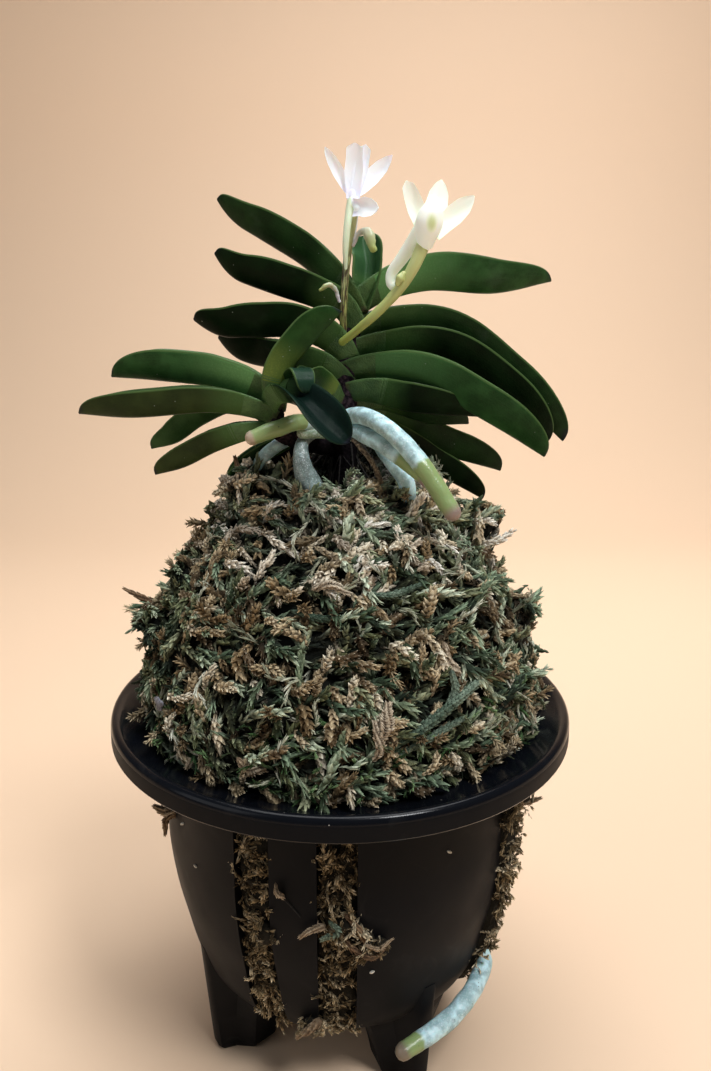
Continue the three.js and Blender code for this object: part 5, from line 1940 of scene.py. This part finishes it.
ROOTS = (
    Root(
        "root_left", ((-4, -10, 63.4), (-8.3, -14, 65), (-12.9, -17, 64), (-17.6, -18, 62.3)),
        (1.4, 1.6, 1.65, 1.5), PINK_END,
    ),
    Root(
        "root_front_1", ((-0.8, -5, 64.5), (4.1, -13, 66.2), (9.6, -20, 63.9), (15.4, -24, 57.9), (21.2, -27, 49.3)),
        (1.7, 1.75, 1.8, 1.9, 1.7), LONG_END,
    ),
    Root(
        "root_front_2", ((0.1, -6, 62.5), (4.5, -14, 62.5), (10.4, -20, 59.8), (17.2, -23, 54.6)),
        (1.6, 1.7, 1.75, 1.6), ENDING,
    ),
    Root(
        "root_flared", ((-4.9, -8, 62.7), (-8.1, -12, 60.3), (-7.9, -14, 56.2), (-6.2, -14, 51.6)),
        (1.15, 1.25, 1.9, 2.7), FLECKED,
    ),
    Root("root_stub", ((2.2, -9, 61.6), (-4.4, -12, 62.6), (-8, -13, 62.7)), (1.05, 1.1, 1.2), GREENISH),
    Root(
        "root_back", ((7.1, -10, 61), (10.5, -15.4, 57), (13, -16.6, 53.4), (13.4, -13.6, 47)),
        (1.5, 1.7, 1.75, 1.7), SILVER,
    ),
    Root(
        "root_dry", ((1.7, -12, 62), (3.9, -15, 60), (6.3, -16, 57), (9, -15, 50)), (0.5, 0.55, 0.55, 0.7),
        DryFinish("root_dead"), "root_dry", 0.2,
    ),
    Root(
        "root_pale", ((-9.6, -6, 61.2), (-12.9, -8, 59.8), (-16.1, -9, 57.4), (-17.9, -9, 54.9)),
        (1.4, 1.4, 1.35, 1.1), SILVER,
    ),
    Root(
        "root_hanging",
        (
            (31, -14.5, -56), (33.2, -18.5, -59), (31.6, -22, -60.6),
            (27.9, -27.9, -61), (22.6, -32.8, -62.4), (13.2, -38, -64.6),
        ),
        (1.9, 2, 2, 2, 2.05, 1.8), HANGING,
    ),
)


# ---------------- stalks and flowers


@dataclass(frozen=True)
class Stalk:
    """A flower stalk, with the rounded bract low on the flower's own stalk where there is one."""

    node: str
    line: tuple
    radii: tuple
    finish: StalkFinish
    slot: str
    bract: tuple | None = None

    def build(self) -> None:
        """Makes the stalk."""
        shell = Shell()
        rings = tube_rings(self.line, self.radii, 48, 20)
        around = np.abs(np.arange(20) / 10 - 1)[None, :]
        shell.add_rings(ruffled(rings, rough(rings, 3.0, 0.1)), along=tube_along(48), across=around)
        if self.bract:
            centre = np.array(self.bract)
            line = [centre + [-0.5, 0, -0.9], centre, centre + [0.7, 0, 1.0]]
            shell.add_rings(tube_rings(line, [0.5, 0.95, 0.5], 14, 16), along=0.7, across=0.3)
        place(shell.make(f"flower_{self.node}", self.finish), self.slot, self.node)


STALKS = (
    Stalk(
        "stalk_streaked", ((0.3, -3, 82.1), (0.4, -4, 88.9), (1, -3, 96.4), (2.2, -3, 105.1)), (0.78, 0.76, 0.78, 0.85),
        StalkFinish("stalk_streaked_skin", streaks=1.0), "stalk_streaked",
    ),
    Stalk(
        "stalk_pale", ((0.1, -5, 80.5), (6.1, -9, 85.5), (11.6, -11, 91.2), (14, -12, 95.2), (15.8, -12, 99.2)),
        (0.8, 0.9, 1.0, 1.15, 1.35), StalkFinish("stalk_pale_skin", low=(0.34, 0.42, 0.08), high=(0.6, 0.66, 0.3)),
        "stalk_pale", (11.3, -12.2, 92.7),
    ),
)


@dataclass(frozen=True)
class Petal:
    """A petal: its tip, half its width, how far it bows and how far its tip curls back."""

    tip: tuple
    half: float
    bow: float = 1.0
    curl: float = 0.0
    root: tuple | None = None
    foot: float = 0.5
    blunt: float = 0.42


@dataclass(frozen=True)
class Flower:
    """A small flower: petals round a heart, and a tongue, a thin spur and its own stalk as lines with their radii."""

    node: str
    heart: tuple
    heart_radius: float
    petals: tuple
    tongue: tuple
    spur: tuple
    pedicel: tuple
    finish: PetalFinish
    slot: str
    mark: tuple
    mark_reach: float

    def petal(self, shell: Shell, petal: Petal) -> None:
        """Adds one petal as a thin cupped closed surface.

        Args:
            shell: what it is added to.
            petal: its measures.
        """
        root = np.array(petal.root or self.heart, float)
        run = np.array(petal.tip, float) - root
        side = unit(np.cross(run, [0, 1, 0]))
        face = unit(np.cross(side, run))
        steps = np.concatenate([np.linspace(0, 0.86, 20), 1 - 0.14 * (1 - np.linspace(0, 1, 9)[1:]) ** 1.6])
        rows, along, across = [], [], []
        s = np.linspace(-1, 1, 15)
        widths = ((0, petal.foot), (0.25, 0.85), (0.5, 1), (0.75, 0.86), (0.92, petal.blunt), (1, 0.05))
        for t in steps:
            w = petal.half * float(read_off(widths, t, 0.02)[0])
            bow, curl = petal.bow * math.sin(math.pi * t), petal.curl * max(0, t - 0.7) ** 2 * 11
            centre = root + run * t + face * bow - face * curl
            thick = 0.16 + 0.14 * (1 - t)
            cup = 0.34 * w * s * s + 0.05 * np.sin(9 * t + 4 * s)
            front = centre + w * s[:, None] * side - (cup + thick * 0.5)[:, None] * face
            back = centre + w * 0.985 * s[::-1, None] * side - (cup[::-1] - thick)[:, None] * face
            rows.append(np.vstack([front, back]))
            along.append(np.full(30, t))
            across.append(np.abs(np.concatenate([s, s[::-1]])))
        shell.add_rings(np.array(rows), along=np.array(along), across=np.array(across))

    def build(self) -> None:
        """Makes the flower."""
        shell = Shell()
        heart = np.array(self.heart, float)
        r = self.heart_radius
        cup = tube_rings([heart - [0, 0, r], heart, heart + [0, 0, r * 0.8]], [r * 0.55, r * 0.92, r * 0.7], 16, 22)
        shell.add_rings(cup, along=0.12, across=0.3)
        for petal in self.petals:
            self.petal(shell, petal)
        for bar, stem in ((self.tongue, 0.0), (self.spur, 0.25), (self.pedicel, 1.0)):
            shell.add_rings(tube_rings(*bar, 30, 28), along=0.6, across=0.6, stem=stem)
        far = [np.linalg.norm((points - np.array(self.mark)) * [1.5, 0.7, 0.85], axis=1) for points in shell.points]
        shell.values["blush"] = [np.clip(1 - d / self.mark_reach, 0, 1) for d in far]
        place(shell.make(f"bloom_{self.node}", self.finish, sharp=75), self.slot, self.node)


FLOWERS = (
    Flower(
        "flower_white", (2, -2, 109), 1.1,
        (
            Petal((-3.4, -4, 117.8), 1.2, 0.7, 0.3, blunt=0.5),
            Petal((2.5, -3.8, 118.7), 1.9, 0.8, -0.2, (2.2, -2.4, 108.6), 0.7, 0.86),
            Petal((4.7, -3.2, 118.5), 1.5, 0.7, 0.1, (2.6, -2.2, 109), 0.6, 0.8),
            Petal((10, -1, 116.9), 1.65, 1.0, 0.5, blunt=0.42),
            Petal((7.3, -6.3, 106.4), 1.9, -0.5, 0.3, (2.4, -4.2, 106.6), 0.9, 0.5),
        ),
        (((2.3, -2.6, 108.4), (3, -3.8, 107.2), (3.2, -4.6, 106.4)), (0.8, 1, 0.8)),
        (((2, -1, 108.6), (2.6, 3, 107), (2.2, 5.4, 102.6), (1, 6, 98.6)), (1, 0.85, 0.75, 0.6)),
        (((1.9, -2.6, 108), (1.1, -4.4, 103.4), (0.7, -4.6, 98.6), (0.8, -3.6, 94.8)), (0.95, 0.74, 0.64, 0.3)),
        PetalFinish("petal_white"), "petals_white", (3.9, -4.6, 109.2), 1.3,
    ),
    Flower(
        "flower_cream", (17, -11.8, 102.4), 2.2,
        (
            Petal((12.1, -13, 110.4), 1.75, 0.6, -0.3, (16.2, -12, 100.6), 0.8, 0.66),
            Petal((19.2, -9, 111.3), 2.2, 0.7, -0.2, (17.2, -11, 101), 0.8, 0.45),
            Petal((25.4, -10.5, 108.1), 2.0, 0.6, 0.2, (17.6, -12, 101), 0.8, 0.42),
        ),
        (
            ((16.1, -12.2, 99.4), (16.3, -12.7, 101.3), (16.7, -13, 103.2), (17.1, -12.9, 105), (17.3, -12.4, 106.6)),
            (1.6, 2.4, 2.7, 2.35, 1.3),
        ),
        (
            ((15.4, -10.6, 101.8), (11.9, -9, 96.8), (9.8, -8, 93.7), (10, -8.4, 91.6), (11.3, -9, 91.9)),
            (1.7, 1.4, 1.2, 1.05, 0.85),
        ),
        (((16.8, -11.6, 101.4), (16.1, -12, 99.9)), (1.5, 1.4)),
        PetalFinish("petal_cream", (0.92, 0.96, 0.86), (0.84, 0.9, 0.7), (0.9, 0.94, 0.8), mark=(0.52, 0.6, 0.2)),
        "petals_cream", (16.9, -15.9, 102.6), 2.1,
    ),
)


@dataclass(frozen=True)
class Withered:
    """A withered flower: a drying, bent tube."""

    node: str
    line: tuple
    radii: tuple
    finish: StalkFinish

    def build(self) -> None:
        """Makes it."""
        shell = Shell()
        rings = tube_rings(self.line, self.radii, 30, 18)
        shell.add_rings(ruffled(rings, rough(rings, 0.9, 0.22, 7.0)), along=tube_along(30), across=0.5)
        place(shell.make(f"dry_{self.node}", self.finish), "withered", self.node)


FADED = StalkFinish("bloom_faded", low=(0.62, 0.58, 0.66), high=(0.42, 0.5, 0.16))
WITHERED = (
    Withered(
        "withered_upper", ((2.4, -4, 99.6), (3.2, -4.6, 101.5), (5, -6, 101.9), (6.2, -7, 98.6)),
        (0.4, 0.6, 1.15, 0.7), FADED,
    ),
    Withered(
        "withered_lower", ((-0.5, -4.8, 88.6), (-1.4, -5.2, 91), (-2.8, -6, 91.7), (-4.4, -6, 90.7)),
        (0.3, 0.42, 0.6, 0.25), FADED,
    ),
)


# ---------------- studio


@dataclass(frozen=True)
class Lamp:
    """A soft square light: where it hangs, what it looks at, its size in metres, power and colour."""

    name: str
    where: tuple
    target: tuple
    size: float
    power: float
    colour: Colour = (1.0, 0.95, 0.88)

    def build(self) -> None:
        """Hangs the light."""
        data = bpy.data.lights.new(self.name, "AREA")
        data.shape, data.size, data.energy, data.color = "SQUARE", self.size, self.power, self.colour
        lamp = bpy.data.objects.new(self.name, data)
        lamp.location = self.where
        lamp.rotation_euler = (Vector(self.target) - Vector(self.where)).to_track_quat("-Z", "Y").to_euler()
        link(lamp)


@dataclass(frozen=True)
class Studio:
    """A pale paper sweep, soft lights and the camera."""

    eye: tuple = (0.0, -181.5, 83.9)
    pitch: float = 14.17
    yaw: float = 1.0
    roll: float = 0.35
    lens: float = 28.0
    lamps: tuple = (
        Lamp("softbox_above", (0.02, 0.14, 0.8), (0.0, 0.0, 0.12), 0.6, 6.1, (0.97, 0.98, 1.0)),
        Lamp("window_left", (-0.75, -0.45, 0.5), (0.0, 0.0, 0.1), 0.6, 1.3, (0.95, 0.97, 1.0)),
        Lamp("front_top", (0.34, -0.42, 0.92), (0.0, 0.0, 0.1), 0.26, 7.2, (0.97, 0.98, 1.0)),
        Lamp("wall_wash", (0.26, 0.28, 0.5), (0.04, 0.9, 0.18), 0.5, 1.8, (1.0, 0.98, 0.97)),
    )

    def sweep(self) -> Object:
        """Makes the floor that curves up into the backdrop.

        Returns:
            The sweep.
        """
        profile = [(-0.9, 0.0), (0.45, 0.0)]
        profile += [(0.45 + 0.4 * math.sin(a), 0.4 - 0.4 * math.cos(a)) for a in np.radians(np.arange(6, 91, 6))]
        profile.append((0.85, 1.6))
        shell = Shell()
        rows = []
        for y, z in profile:
            rows.append([(x, y, z) for x in (-1.6, 1.6)] + [(x, y + 0.01, z - 0.01) for x in (1.6, -1.6)])
        shell.add_rings(np.array(rows) / MM - ORIGIN)
        return shell.make("paper_sweep", StudioFinish(), sharp=40)

    def camera(self) -> None:
        """Sets the camera up."""
        pitch, yaw, roll = (math.radians(a) for a in (self.pitch, self.yaw, self.roll))
        ahead = Vector((math.sin(yaw) * math.cos(pitch), math.cos(yaw) * math.cos(pitch), -math.sin(pitch)))
        right = ahead.cross(Vector((0, 0, 1))).normalized()
        up = right.cross(ahead)
        right, up = right * math.cos(roll) + up * math.sin(roll), up * math.cos(roll) - right * math.sin(roll)
        data = bpy.data.cameras.new("camera")
        data.lens, data.sensor_width, data.clip_start = self.lens, 36.0, 0.005
        camera = bpy.data.objects.new("camera", data)
        turn = Matrix((right, up, -ahead)).transposed().to_4x4()
        camera.matrix_world = Matrix.Translation(Vector((ORIGIN + np.array(self.eye)) * MM)) @ turn
        link(camera)
        bpy.context.scene.camera = camera

    def build(self) -> None:
        """Sets up the floor, the lights and the camera."""
        self.sweep()
        for lamp in self.lamps:
            lamp.build()
        self.camera()
        world = bpy.data.worlds.new("room")
        bpy.context.scene.world = world
        world.use_nodes = True
        back = world.node_tree.nodes["Background"]
        back.inputs["Color"].default_value = (0.95, 0.97, 1.0, 1.0)
        back.inputs["Strength"].default_value = 0.09
        bpy.context.scene.view_settings.view_transform = "Standard"
        log.info("studio with %d lamps", len(self.lamps))


# ---------------- all of it


@dataclass(frozen=True)
class Orchid:
    """The whole object, from the pot upwards."""

    pot: Pot = Pot()
    mound: Mound = Mound()
    litter: Litter = Litter()
    stems: Stems = Stems()

    def build(self) -> None:
        """Builds every piece."""
        self.pot.build()
        self.mound.build(self.pot)
        self.litter.build()
        self.stems.build(BLADES)
        for part in (*BLADES, *ROOTS, *STALKS, *FLOWERS, *WITHERED):
            part.build()


def main() -> None:
    """Builds the studio and the orchid."""
    Studio().build()
    Orchid().build()
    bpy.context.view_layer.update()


if __name__ == "__main__":
    main()
